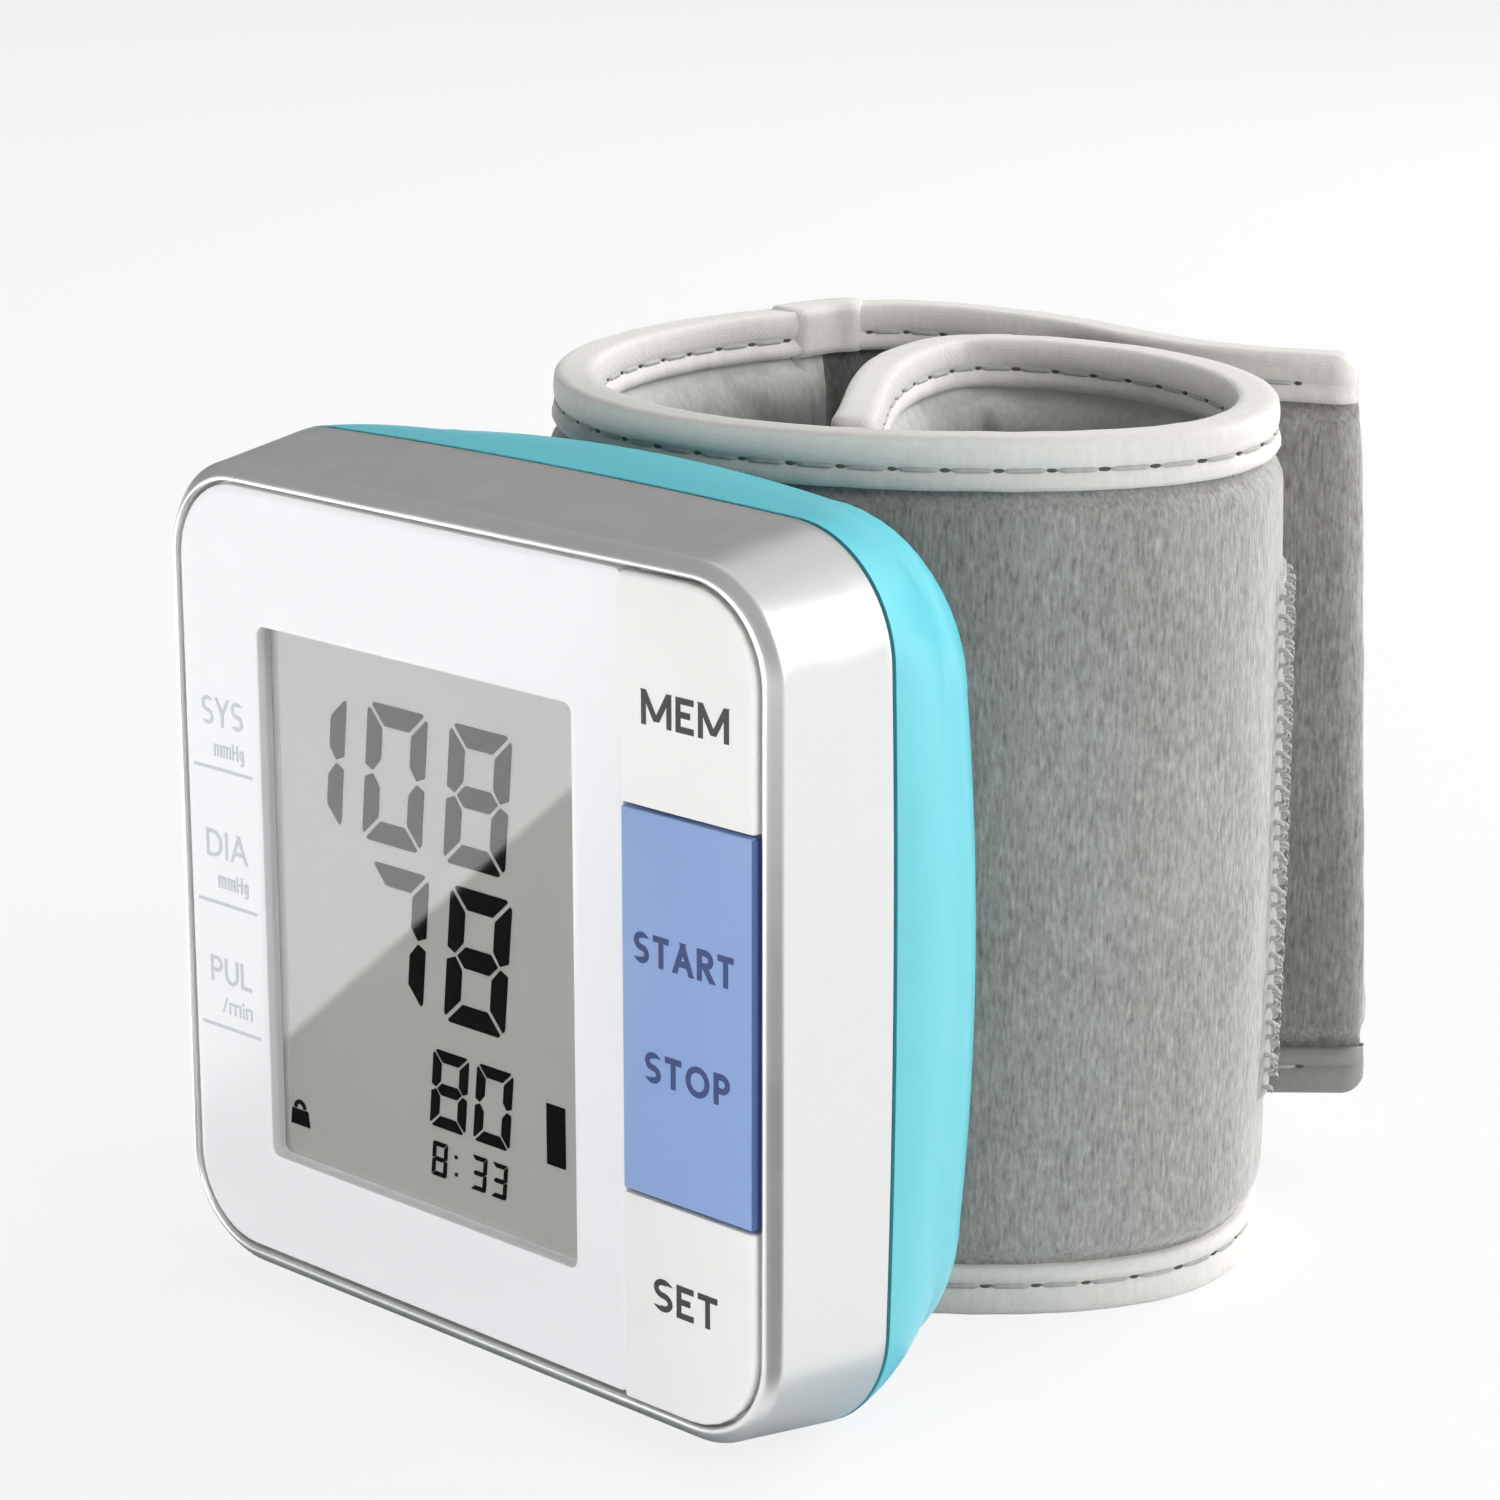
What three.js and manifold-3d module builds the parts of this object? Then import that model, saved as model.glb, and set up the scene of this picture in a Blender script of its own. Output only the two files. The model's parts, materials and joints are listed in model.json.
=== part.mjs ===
// Wrist blood pressure monitor with a wound cuff. Millimetres, +Z up, the front plate faces -Y.
// Everything is built about the middle of the front plate and moved to the origin at the end:
// the origin is the middle of the base, under the whole part.
import * as THREE from 'three';
import Module from 'manifold-3d';
import { mergeVertices } from 'three/addons/utils/BufferGeometryUtils.js';

const wasm = await Module();
wasm.setup();

// Driving sizes of the case
const LIP_W = 70; // outline of the front lip
const LIP_H = 69.8;
const LIP_R = 8.8; // corner radius of the lip
const LIP_ROUND = 1.2; // rounding on the outside of the lip
const LIP_RISE = 0.2; // lip crest above the front plate
const FLARE = 1.5; // how much the frame widens, each side, up to the parting line
const PART_Y = 11; // parting line behind the front plate
const BACK_Y = 25.6; // back of the rear housing
const BACK_ROUND = 6; // rounding from side to back
const FRAME_BOW = 0.4; // outward bow of the case's four sides at the parting line
const SIDE_TAPER = 2.2; // how much the rear housing's left and right narrow before that rounding
const TOP_TAPER = 0.8; // the same at its top and bottom
const SIDE_BOW = 1.2; // outward bow of the rear housing's left and right at its back
const TOP_BOW = 1.1; // the same at its top and bottom
const GRIP_DEPTH = 0.5; // finger grooves of the battery cover
const WALL = 1.8;
const GAP = 0.3; // running gap between pieces
const TONGUE = 1.6; // rear housing's tongue inside the front frame

// Front plate, window and keys
const PLATE_T = 1.5;
const PLATE_EDGE = 1.8; // lip outline to plate outline
const DECK_T = 1.5; // deck of the front frame behind the plate
const WIN_W = 36.9;
const WIN_H = 45.9;
const WIN_X = -5.1; // middle of the window
const WIN_Z = -1.3;
const WIN_R = 0.8;
const LENS_LAP = 1.2; // window pane under the plate, each side
const LENS_T = 0.7;
const LCD_LAP = 2; // display glass under the plate, each side
const LCD_T = 1.8;
const KEYS_X = 19.2; // left edge of the key column
const START_H = 30.9; // middle key
const START_Z = -0.25;
const KEY_RISE = 0.6; // key caps above the plate
const KEY_T = 1.4;
const KEY_TRAVEL = 0.5;
const STEM_D = 3;

// Circuit board and what it carries
const BOARD_T = 1.4;
const BOARD_Y = 7;
const SWITCH_W = 6;
const SWITCH_T = 1.5;
const PLUNGER_D = 3;
const PLUNGER_RISE = 0.8;
const CHIP_W = 12;
const CHIP_X = -20; // middle of the chip
const CHIP_T = 1.4;
const BUZZER_D = 12;
const BUZZER_T = 2.6;
const BUZZER_X = 25;
const BUZZER_Z = 4;
const BUZZER_HOLE = 2;

// Cells
const CELL_D = 10.5;
const CELL_L = 44.5;
const NUB_D = 3.8;
const NUB_L = 0.8;
const BAY_WALL = 1;
const SPRING_L = 4;
const WIRE_D = 0.6;
const SPRING_TURNS = 3;
const CONTACT_T = 0.4;

// Air path
const PUMP_X = 4;
const PUMP_Y = 17;
const MOTOR_D = 12;
const MOTOR_L = 20;
const HEAD_W = 12;
const HEAD_L = 12;
const SHAFT_D = 1.5;
const SHAFT_IN = 5.5; // shaft inside the motor
const SHAFT_OUT = 1.5; // shaft past its eccentric
const CAM_D = 6;
const CAM_THROW = 1;
const STUB_D = 2.4;
const STUB_L = 4;
const TUBE_OD = 4.6;
const NOZZLE_Z = 14;
const NOZZLE_D = 4;
const VALVE_X = 20;
const VALVE_D = 9;
const VALVE_L = 14;
const VALVE_TRAVEL = 1;
const STOP_D = 6; // foot of the valve's plunger
const STOP_OUT = 2.5; // foot below the valve

// Screws
const SCREW_X = 22;
const SCREW_Z = 29.4;
const SCREW_D = 2.2;
const SCREW_L = 14;
const HEAD_D = 4.2;
const HEAD_T = 1.6;
const CUFF_SCREW_X = -6;
const CUFF_SCREW_Z = 14;
const CUFF_SCREW_L = 9;

// Cuff: plan reach of its turning points and the layers' places across the wall
const CUFF_H = 73.4; // height of the fabric, inside the binding
const CUFF_LIFT = 0.5; // middle of the cuff above the middle of the case
const LEFT_REACH = 35.2;
const LEFT_Y = 63;
const RIGHT_REACH = 30.8;
const RIGHT_Y = 56;
const RING_BACK_X = 4;
const RING_BACK_Y = 79.5;
const RING_LEFT_X = -11.5;
const RING_LEFT_Y = 72;
const TIP_X = 9.2;
const TIP_Y = 36.2;
const TANGENT_X = -3; // where the cuff touches the back of the housing
const CREASE_X = -33.4;
const CREASE_Y = 79.5;
const SEAT = 0.4; // cuff to housing
const OUTER_IN = 0.6; // outer fabric, inner and outer face, and its crown
const OUTER_OUT = 2.3;
const CROWN = 0.4;
const LINING_IN = 2.9;
const LINING_OUT = 2.2;
const EDGE_OUT = 1.1; // sewn edges
const EDGE_IN = 0.8;
const EDGE_SPLIT = 0.15;
const FORMER_T = 0.6;
const BLADDER_T = 1.3;
const BIND_H = 3.5; // binding's walls beside the fabric
const BIND_T = 0.6;
const PINCH = 1.8; // height over which the layers close to the sewn edge
const PATCH_T = 1.2;
const PATCH_H = 46;
const PATCH_FROM = 0.57; // hook patch, as shares of the cuff's length
const PATCH_TO = 0.71;
const TAIL_MID = 2.2; // half thickness of the tail strap
const TAIL_EDGE = 1;
const TAIL_NOSE = 1.6;
const TAIL_BACK = 88.6;
const TAIL_BACK_X = -14;
const TAIL_END_X = 19.9;
const TAIL_END_Y = 90.8;
const TAIL_TAPER = 6.2; // how much the tail's lower edge rises to its end
const TAIL_LEAN = 3; // how much further its end reaches below than above
const TAIL_BARE = 0.8; // fabric past the binding at the tail's end
const TAIL_ROUND = 1.2; // rounding of the tail's end
const CUFF_STEPS = 50;
const TAIL_STEPS = 18;

// Fineness of round forms
const CORNER_STEPS = 7;
const SIDE_STEPS = 4;
const ROUND = 14;

// Mesh helpers
function toSolid(geometry) {
  const bare = geometry.clone();
  bare.deleteAttribute('normal');
  bare.deleteAttribute('uv');
  const merged = mergeVertices(bare, 1e-4);
  const vertProperties = new Float32Array(merged.attributes.position.array);
  const triVerts = new Uint32Array(merged.index.array);
  return new wasm.Manifold(new wasm.Mesh({ numProp: 3, vertProperties, triVerts }));
}

function toGeometry(body) {
  const mesh = body.getMesh();
  const geometry = new THREE.BufferGeometry();
  const points = new Float32Array(mesh.numVert * 3);
  for (let i = 0; i < mesh.numVert; i += 1) {
    for (let k = 0; k < 3; k += 1) points[3 * i + k] = mesh.vertProperties[mesh.numProp * i + k];
  }
  geometry.setAttribute('position', new THREE.BufferAttribute(points, 3));
  geometry.setIndex(Array.from(mesh.triVerts));
  return geometry;
}

function fromTriangles(points, faces) {
  let volume = 0;
  const [a, b, c] = [new THREE.Vector3(), new THREE.Vector3(), new THREE.Vector3()];
  for (const [i, j, k] of faces) {
    a.copy(points[i]);
    b.copy(points[j]);
    c.copy(points[k]);
    volume += a.dot(b.cross(c));
  }
  const index = faces.flatMap(([i, j, k]) => (volume > 0 ? [i, j, k] : [i, k, j]));
  const geometry = new THREE.BufferGeometry();
  geometry.setAttribute('position', new THREE.Float32BufferAttribute(points.flatMap((p) => p.toArray()), 3));
  geometry.setIndex(index);
  return toSolid(geometry);
}

// A solid through equal rings of points, its two end rings closed by the given triangles
function skin(rings, capFaces) {
  const count = rings[0].length;
  const points = rings.flat();
  const faces = [];
  for (let r = 0; r + 1 < rings.length; r += 1) {
    for (let i = 0; i < count; i += 1) {
      const j = (i + 1) % count;
      const [p, q] = [r * count, (r + 1) * count];
      faces.push([p + i, p + j, q + j], [p + i, q + j, q + i]);
    }
  }
  const last = (rings.length - 1) * count;
  for (const [i, j, k] of capFaces) {
    faces.push([i, k, j], [last + i, last + j, last + k]);
  }
  return fromTriangles(points, faces);
}

function fan(count) {
  return Array.from({ length: count - 2 }, (_, i) => [0, i + 1, i + 2]);
}

// End faces of a profile whose second half runs back beside its first half
function ladder(count) {
  const faces = [];
  for (let i = 0; i + 1 < count / 2; i += 1) {
    const [far, near] = [count - 1 - i, count - 2 - i];
    faces.push([i, i + 1, near], [i, near, far]);
  }
  return faces;
}

function loft(rings) {
  return skin(rings, fan(rings[0].length));
}

// Rounded rectangle across the depth axis, its sides bowed outward
function outline(halfW, halfH, radius, y, bowX = 0, bowZ = bowX) {
  const ring = [];
  const quarters = [[1, 1], [-1, 1], [-1, -1], [1, -1]];
  const bows = [[0, bowZ], [-bowX, 0], [0, -bowZ], [bowX, 0]];
  quarters.forEach(([sx, sz], k) => {
    for (let i = 0; i <= CORNER_STEPS; i += 1) {
      const a = ((k + i / CORNER_STEPS) * Math.PI) / 2;
      const x = sx * (halfW - radius) + radius * Math.cos(a);
      const z = sz * (halfH - radius) + radius * Math.sin(a);
      ring.push(new THREE.Vector3(x, y, z));
    }
    const from = ring[ring.length - 1];
    const [nx, nz] = quarters[(k + 1) % 4];
    const a = ((k + 1) * Math.PI) / 2;
    const to = new THREE.Vector3(nx * (halfW - radius), y, nz * (halfH - radius));
    to.x += radius * Math.cos(a);
    to.z += radius * Math.sin(a);
    for (let i = 1; i < SIDE_STEPS; i += 1) {
      const t = i / SIDE_STEPS;
      const p = from.clone().lerp(to, t);
      const lift = 1 - (2 * t - 1) ** 2;
      p.x += bows[k][0] * lift;
      p.z += bows[k][1] * lift;
      ring.push(p);
    }
  });
  return ring;
}

function box(x0, x1, y0, y1, z0, z1) {
  const geometry = new THREE.BoxGeometry(x1 - x0, y1 - y0, z1 - z0);
  geometry.translate((x0 + x1) / 2, (y0 + y1) / 2, (z0 + z1) / 2);
  return toSolid(geometry);
}

// Round bar along the depth axis
function barY(d, x, z, y0, y1, steps = ROUND) {
  const geometry = new THREE.CylinderGeometry(d / 2, d / 2, y1 - y0, steps);
  geometry.translate(x, (y0 + y1) / 2, z);
  return toSolid(geometry);
}

// Turned form along +Z: profile points are [radius, height]
function turned(profile, x, y, steps = ROUND) {
  const geometry = new THREE.LatheGeometry(profile.map(([r, h]) => new THREE.Vector2(r, h)), steps);
  geometry.rotateX(Math.PI / 2);
  geometry.translate(x, y, 0);
  return toSolid(geometry);
}

function barZ(d, x, y, z0, z1, steps = ROUND) {
  return turned([[0, z0], [d / 2, z0], [d / 2, z1], [0, z1]], x, y, steps);
}

function barX(d, y, z, x0, x1, steps = ROUND) {
  const geometry = new THREE.CylinderGeometry(d / 2, d / 2, x1 - x0, steps);
  geometry.rotateZ(Math.PI / 2);
  geometry.translate((x0 + x1) / 2, y, z);
  return toSolid(geometry);
}

function addAll(first, others) {
  return others.reduce((sum, next) => sum.add(next), first);
}

function cutAll(first, others) {
  return others.reduce((sum, next) => sum.subtract(next), first);
}

// Hollow tube along a path, for the air lines
function hose(points, od, id) {
  const ring = new THREE.Shape();
  ring.absarc(0, 0, od / 2, 0, 2 * Math.PI, false);
  const bore = new THREE.Path();
  bore.absarc(0, 0, id / 2, 0, 2 * Math.PI, true);
  ring.holes.push(bore);
  const extrudePath = new THREE.CatmullRomCurve3(points);
  const steps = 3 * (points.length - 1);
  return toSolid(new THREE.ExtrudeGeometry(ring, { steps, extrudePath, curveSegments: 4 }));
}

const parts = [];
function add(name, body, color, roughness, metalness = 0) {
  const material = new THREE.MeshStandardMaterial({ color, roughness, metalness });
  const mesh = new THREE.Mesh(toGeometry(body), material);
  mesh.name = name;
  parts.push(mesh);
}

// Outline of the front frame at a depth, measured to its outer face
const lipStart = LIP_ROUND - LIP_RISE;
function frameShare(y) {
  return Math.max(0, y - lipStart) / (PART_Y - lipStart);
}
function frameGrow(y) {
  return FLARE * frameShare(y);
}
function frameRing(y, inset = 0) {
  const grow = frameGrow(y) - inset;
  const radius = Math.max(1, LIP_R + grow);
  return outline(LIP_W / 2 + grow, LIP_H / 2 + grow, radius, y, FRAME_BOW * frameShare(y));
}

// Front plate outline, shared by the plate and the three keys
const plateW = LIP_W / 2 - PLATE_EDGE;
const plateH = LIP_H / 2 - PLATE_EDGE;
const plateR = LIP_R - PLATE_EDGE;
const EASE = 0.25; // eased front edge of plate and keys
function platePad(front, back, inset) {
  const rings = [
    outline(plateW - inset - EASE, plateH - inset - EASE, plateR - inset - EASE, front),
    outline(plateW - inset, plateH - inset, plateR - inset, front + EASE),
    outline(plateW - inset, plateH - inset, plateR - inset, back),
  ];
  return loft(rings);
}
const FAR = 60;
const deckY = PLATE_T + GAP;
const deckBack = deckY + DECK_T;
const lcdY = PLATE_T + GAP;
const stemEnd = BOARD_Y - SWITCH_T - PLUNGER_RISE - GAP;
const startTop = START_Z + START_H / 2;
const startLow = START_Z - START_H / 2;
const keyX = (KEYS_X + plateW) / 2;
const STEM_SHARE = 0.4; // where the stems of the outer keys stand, from the middle key outward
const keyZ = {
  mem: startTop + STEM_SHARE * (plateH - startTop),
  start: START_Z,
  set: startLow - STEM_SHARE * (plateH + startLow),
};

// A box about the window, grown by lap on each side
function windowBox(lap, y0, y1) {
  const [w, h] = [WIN_W / 2 + lap, WIN_H / 2 + lap];
  return box(WIN_X - w, WIN_X + w, y0, y1, WIN_Z - h, WIN_Z + h);
}
function windowPad(lap, y0, y1) {
  const ring = (y) => outline(WIN_W / 2 + lap, WIN_H / 2 + lap, WIN_R + lap, y)
    .map((p) => p.add(new THREE.Vector3(WIN_X, 0, WIN_Z)));
  return loft([ring(y0), ring(y1)]);
}

// Silver front frame: lip, flared sides, deck behind the plate, screw posts
const screwSpots = [[SCREW_X, SCREW_Z], [-SCREW_X, SCREW_Z], [-SCREW_X, -SCREW_Z], [SCREW_X, -SCREW_Z]];
const lipRings = Array.from({ length: 5 }, (_, i) => {
  const a = (i / 4) * (Math.PI / 2);
  const inset = LIP_ROUND * (1 - Math.sin(a));
  return outline(
    LIP_W / 2 - inset,
    LIP_H / 2 - inset,
    LIP_R - inset,
    -LIP_RISE + LIP_ROUND * (1 - Math.cos(a)),
  );
});
const seam = GAP / 2;
const frameOuter = loft([...lipRings, frameRing((PART_Y + lipStart) / 2), frameRing(PART_Y - seam)]);
const frameInner = loft([frameRing(deckBack, WALL), frameRing(PART_Y + 1, WALL)]);
const platePocket = loft([
  outline(plateW + GAP, plateH + GAP, plateR + GAP, -FAR),
  outline(plateW + GAP, plateH + GAP, plateR + GAP, deckY),
]);
const postD = 5.2;
const pilotD = SCREW_D + 2 * GAP;
const posts = screwSpots.map(([x, z]) => barY(postD, x, z, deckBack - DECK_T / 2, PART_Y - GAP));
const pilots = screwSpots.map(([x, z]) => barY(pilotD, x, z, deckBack, PART_Y + 1));
const stemHoles = Object.values(keyZ).map((z) => barY(STEM_D + 2 * GAP, keyX, z, 0, BOARD_Y));
const pinD = 2;
const pinZ = START_H / 2 - 4;
const pinHoles = [1, -1].map((s) => barY(pinD + 2 * GAP, keyX, START_Z + s * pinZ, 0, BOARD_Y));
const frame = cutAll(
  addAll(frameOuter.subtract(platePocket).subtract(frameInner), posts),
  [windowBox(LCD_LAP + GAP, 0, BOARD_Y), ...stemHoles, ...pinHoles, ...pilots],
);
add('bezel_frame', frame, 0xb9bab8, 0.25, 1);

// White front plate with the display window, its pane let in from behind
const lensY = PLATE_T - LENS_T;
const leftOfKeys = box(-FAR, KEYS_X - GAP / 2, -FAR, FAR, -FAR, FAR);
const plate = cutAll(platePad(0, PLATE_T, 0).intersect(leftOfKeys), [
  windowPad(0, -1, PLATE_T + 1),
  windowPad(LENS_LAP + GAP, lensY - GAP, PLATE_T + 1),
]);
add('front_plate', plate, 0xf3f4f6, 0.15);
add('lcd_window', windowPad(LENS_LAP, lensY, PLATE_T), 0xdfe5e4, 0.05);
add('lcd_glass', windowBox(LCD_LAP, lcdY, lcdY + LCD_T), 0xa9aba3, 0.2);

// Holder behind the display and the rubber contact strip under it
const holderY = lcdY + LCD_T + GAP;
const holderBack = BOARD_Y - GAP;
const stripH = 2;
const holder = cutAll(windowBox(LCD_LAP, holderY, holderBack), [
  windowBox(-WALL, holderY + 1, BOARD_Y),
  box(WIN_X - WIN_W / 2, WIN_X + WIN_W / 2, 0, FAR, -FAR, WIN_Z - WIN_H / 2 - LCD_LAP + stripH + 2 * GAP),
]);
add('lcd_holder', holder, 0xe8e8e4, 0.5);
const stripZ = WIN_Z - WIN_H / 2 - LCD_LAP + GAP;
add(
  'contact_strip',
  box(WIN_X - WIN_W / 2 + 1, WIN_X + WIN_W / 2 - 1, holderY, holderBack, stripZ, stripZ + stripH),
  0x3a3a3c,
  0.8,
);

// Three key caps, each with a stem onto its switch
function keyCap(z0, z1, stemZ) {
  const pad = platePad(-KEY_RISE, -KEY_RISE + KEY_T, 0);
  const cell = box(KEYS_X + GAP / 2, FAR, -FAR, FAR, z0 + GAP / 2, z1 - GAP / 2);
  return pad.intersect(cell).add(barY(STEM_D, keyX, stemZ, -KEY_RISE + KEY_T / 2, stemEnd));
}
const startPins = [1, -1].map((s) => barY(pinD, keyX, START_Z + s * pinZ, 0, deckBack));
add('mem_button', keyCap(startTop, FAR, keyZ.mem), 0xf1f1ee, 0.35);
add('start_stop_button', addAll(keyCap(startLow, startTop, keyZ.start), startPins), 0x96abda, 0.35);
add('set_button', keyCap(-FAR, startLow, keyZ.set), 0xf1f1ee, 0.35);

// Circuit board with the switches, chip, buzzer and sensor
const boardBack = BOARD_Y + BOARD_T;
const boardInset = WALL + 1.2;
const boardHoles = screwSpots.map(([x, z]) => barY(postD + 2 * GAP, x, z, 0, FAR));
const board = cutAll(
  loft([BOARD_Y, boardBack].map((y) => outline(
    LIP_W / 2 + frameGrow(BOARD_Y) - boardInset,
    LIP_H / 2 + frameGrow(BOARD_Y) - boardInset,
    LIP_R - boardInset,
    y,
  ))),
  boardHoles,
);
add('circuit_board', board, 0x1f6b45, 0.5);
for (const [key, z] of Object.entries(keyZ)) {
  const half = SWITCH_W / 2;
  const top = BOARD_Y - SWITCH_T;
  const well = barY(PLUNGER_D + 2 * GAP, keyX, z, 0, BOARD_Y - 2 * GAP);
  const can = box(keyX - half, keyX + half, top, BOARD_Y - GAP, z - half, z + half).subtract(well);
  add(`tact_switch_${key}`, can, 0xb8bbbd, 0.4, 0.8);
  const floor = BOARD_Y - 2 * GAP - KEY_TRAVEL;
  add(`tact_plunger_${key}`, barY(PLUNGER_D, keyX, z, top - PLUNGER_RISE, floor - 0.05), 0x1d1d1f, 0.6);
}
const onBoard = boardBack + GAP;
const chipHalf = CHIP_W / 2;
const chip = box(CHIP_X - chipHalf, CHIP_X + chipHalf, onBoard, onBoard + CHIP_T, -chipHalf, chipHalf);
add('control_chip', chip, 0x17181a, 0.6);
add('buzzer', cutAll(barY(BUZZER_D, BUZZER_X, BUZZER_Z, onBoard, onBoard + BUZZER_T), [
  barY(BUZZER_HOLE, BUZZER_X, BUZZER_Z, onBoard + BUZZER_T / 2, FAR),
]), 0x202124, 0.5);
const sensorX = 14.5;
const sensorZ = 23.5;
const sensorT = 3;
const sensor = box(sensorX - 3.5, sensorX + 3.5, onBoard, onBoard + sensorT, sensorZ - 3.5, sensorZ + 3.5)
  .add(barY(STUB_D, sensorX, sensorZ, onBoard + 1, onBoard + sensorT + STUB_L));
add('pressure_sensor', sensor, 0xe4e2d8, 0.5);

// Aqua rear housing: bowed, tapered shell with a rounded back
const partW = LIP_W / 2 + FLARE;
const partH = LIP_H / 2 + FLARE;
const partR = LIP_R + FLARE;
const ROUNDER = 3.4; // corners grow rounder towards the back
const taperY = BACK_Y - BACK_ROUND;
function shellRings(inset) {
  const end = BACK_Y - inset;
  const sides = [0, 0.5, 1].map((t) => {
    const w = partW - SIDE_TAPER * t * t - inset;
    const h = partH - TOP_TAPER * t * t - inset;
    const y = PART_Y + t * (taperY - PART_Y);
    const bows = [SIDE_BOW, TOP_BOW].map((bow) => FRAME_BOW + t * (bow - FRAME_BOW));
    return outline(w, h, partR + ROUNDER * t - inset, y, ...bows);
  });
  const arcs = Array.from({ length: 5 }, (_, i) => {
    const a = ((i + 1) / 5) * (Math.PI / 2);
    const reach = BACK_ROUND - inset;
    const shrink = inset + reach * (1 - Math.cos(a));
    const radius = partR + ROUNDER - inset - reach * 0.6 * (1 - Math.cos(a));
    const y = taperY + (end - taperY) * Math.sin(a);
    return outline(partW - SIDE_TAPER - shrink, partH - TOP_TAPER - shrink, radius, y, SIDE_BOW, TOP_BOW);
  });
  return [...sides, ...arcs];
}
const shellOuter = loft(shellRings(0)).subtract(box(-FAR, FAR, -FAR, PART_Y + seam, -FAR, FAR));
const innerRings = shellRings(WALL);
const mouth = innerRings[0].map((p) => new THREE.Vector3(p.x, PART_Y - 5, p.z));
const shellInner = loft([mouth, ...innerRings]);
const tongueY = PART_Y - TONGUE;
const tongueIn = WALL + GAP - frameGrow(tongueY) + FLARE;
function tongueRing(inset, y) {
  return outline(partW - inset, partH - inset, partR - inset, y);
}
const tongue = addAll(
  loft([tongueRing(tongueIn, tongueY), tongueRing(tongueIn, PART_Y + 2)]),
  [loft([tongueRing(WALL / 2, PART_Y + seam), tongueRing(WALL / 2, PART_Y + 2)])],
).subtract(loft([tongueRing(tongueIn + 1.2, tongueY - 1), tongueRing(tongueIn + 1.2, PART_Y + 3)]));

// Battery bay on the left, open to that side
const backIn = BACK_Y - WALL;
const cellY = backIn - GAP - 0.45 - CELL_D / 2;
const coverT = WALL - GAP;
const cellX = -(partW - SIDE_TAPER - coverT - GAP - CELL_D / 2);
const cellPitch = CELL_D + 0.6;
const bayHalf = CELL_L / 2 + SPRING_L / 2 + CONTACT_T + 2 * GAP;
const bayFront = cellY - CELL_D / 2 - GAP;
const bayRight = cellX + cellPitch + CELL_D / 2 + GAP;
const bayLeft = -(partW - WALL - 0.4);
const bay = box(
  bayLeft,
  bayRight + BAY_WALL,
  bayFront - BAY_WALL,
  backIn + WALL / 2,
  -bayHalf - BAY_WALL,
  bayHalf + BAY_WALL,
).intersect(shellOuter);
const bayRoom = box(-FAR, bayRight, bayFront, backIn, -bayHalf, bayHalf);
const doorY0 = bayFront + 0.1;
const doorY1 = cellY + CELL_D / 2 + 0.25;
const doorX = -(partW - SIDE_TAPER - BACK_ROUND);
function door(grow) {
  return box(-FAR, doorX, doorY0 - grow, doorY1 + grow, -bayHalf - grow, bayHalf + grow);
}

// Screw columns, cuff bosses and the nozzle's hole
const headSeat = BACK_Y - 5.6;
const columns = screwSpots.map(([x, z]) => barY(6.4, x, z, PART_Y + GAP, BACK_Y).intersect(shellOuter));
const bores = screwSpots.flatMap(([x, z]) => [
  barY(HEAD_D + 2 * GAP, x, z, headSeat, FAR),
  barY(SCREW_D + 2 * GAP, x, z, 0, FAR),
]);
const cuffSpots = [1, -1].map((s) => [CUFF_SCREW_X, s * CUFF_SCREW_Z]);
const bossDepth = 6;
const bosses = cuffSpots.map(([x, z]) => barY(5, x, z, backIn - bossDepth, backIn + WALL / 2));
const cuffHoles = cuffSpots.map(([x, z]) => barY(SCREW_D + 2 * GAP, x, z, 0, FAR));
const nozzleHole = barY(NOZZLE_D + 2 * GAP, PUMP_X, NOZZLE_Z, backIn - 2, FAR);
const shell = addAll(shellOuter.subtract(shellInner), [tongue, bay, ...columns, ...bosses]);
const housing = cutAll(shell, [
  bayRoom.intersect(addAll(loft(shellRings(WALL)), [door(0)])),
  door(GAP),
  ...bores,
  ...cuffHoles,
  nozzleHole,
]);
add('rear_housing', housing, 0x55c6d6, 0.3);

// Battery cover: the piece of shell that fills the bay's mouth, ribs inside, grip grooves outside
const ribs = [1, -1].map((s) => box(
  -(partW - WALL / 2),
  cellX - CELL_D / 2 - GAP - 0.1,
  cellY - 1,
  cellY + 1,
  s * 12 - 0.6,
  s * 12 + 0.6,
));
const grooveFloor = loft(shellRings(GRIP_DEPTH));
const grooves = [-1, 0, 1].map((k) => box(
  -FAR,
  doorX,
  cellY - 3.6,
  cellY + 1.6,
  -bayHalf + 6 + 1.8 * k - 0.45,
  -bayHalf + 6 + 1.8 * k + 0.45,
).subtract(grooveFloor));
const coverShell = shellOuter.subtract(loft(shellRings(coverT))).intersect(door(0));
add('battery_cover', cutAll(addAll(coverShell, ribs), grooves), 0x55c6d6, 0.3);

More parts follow.
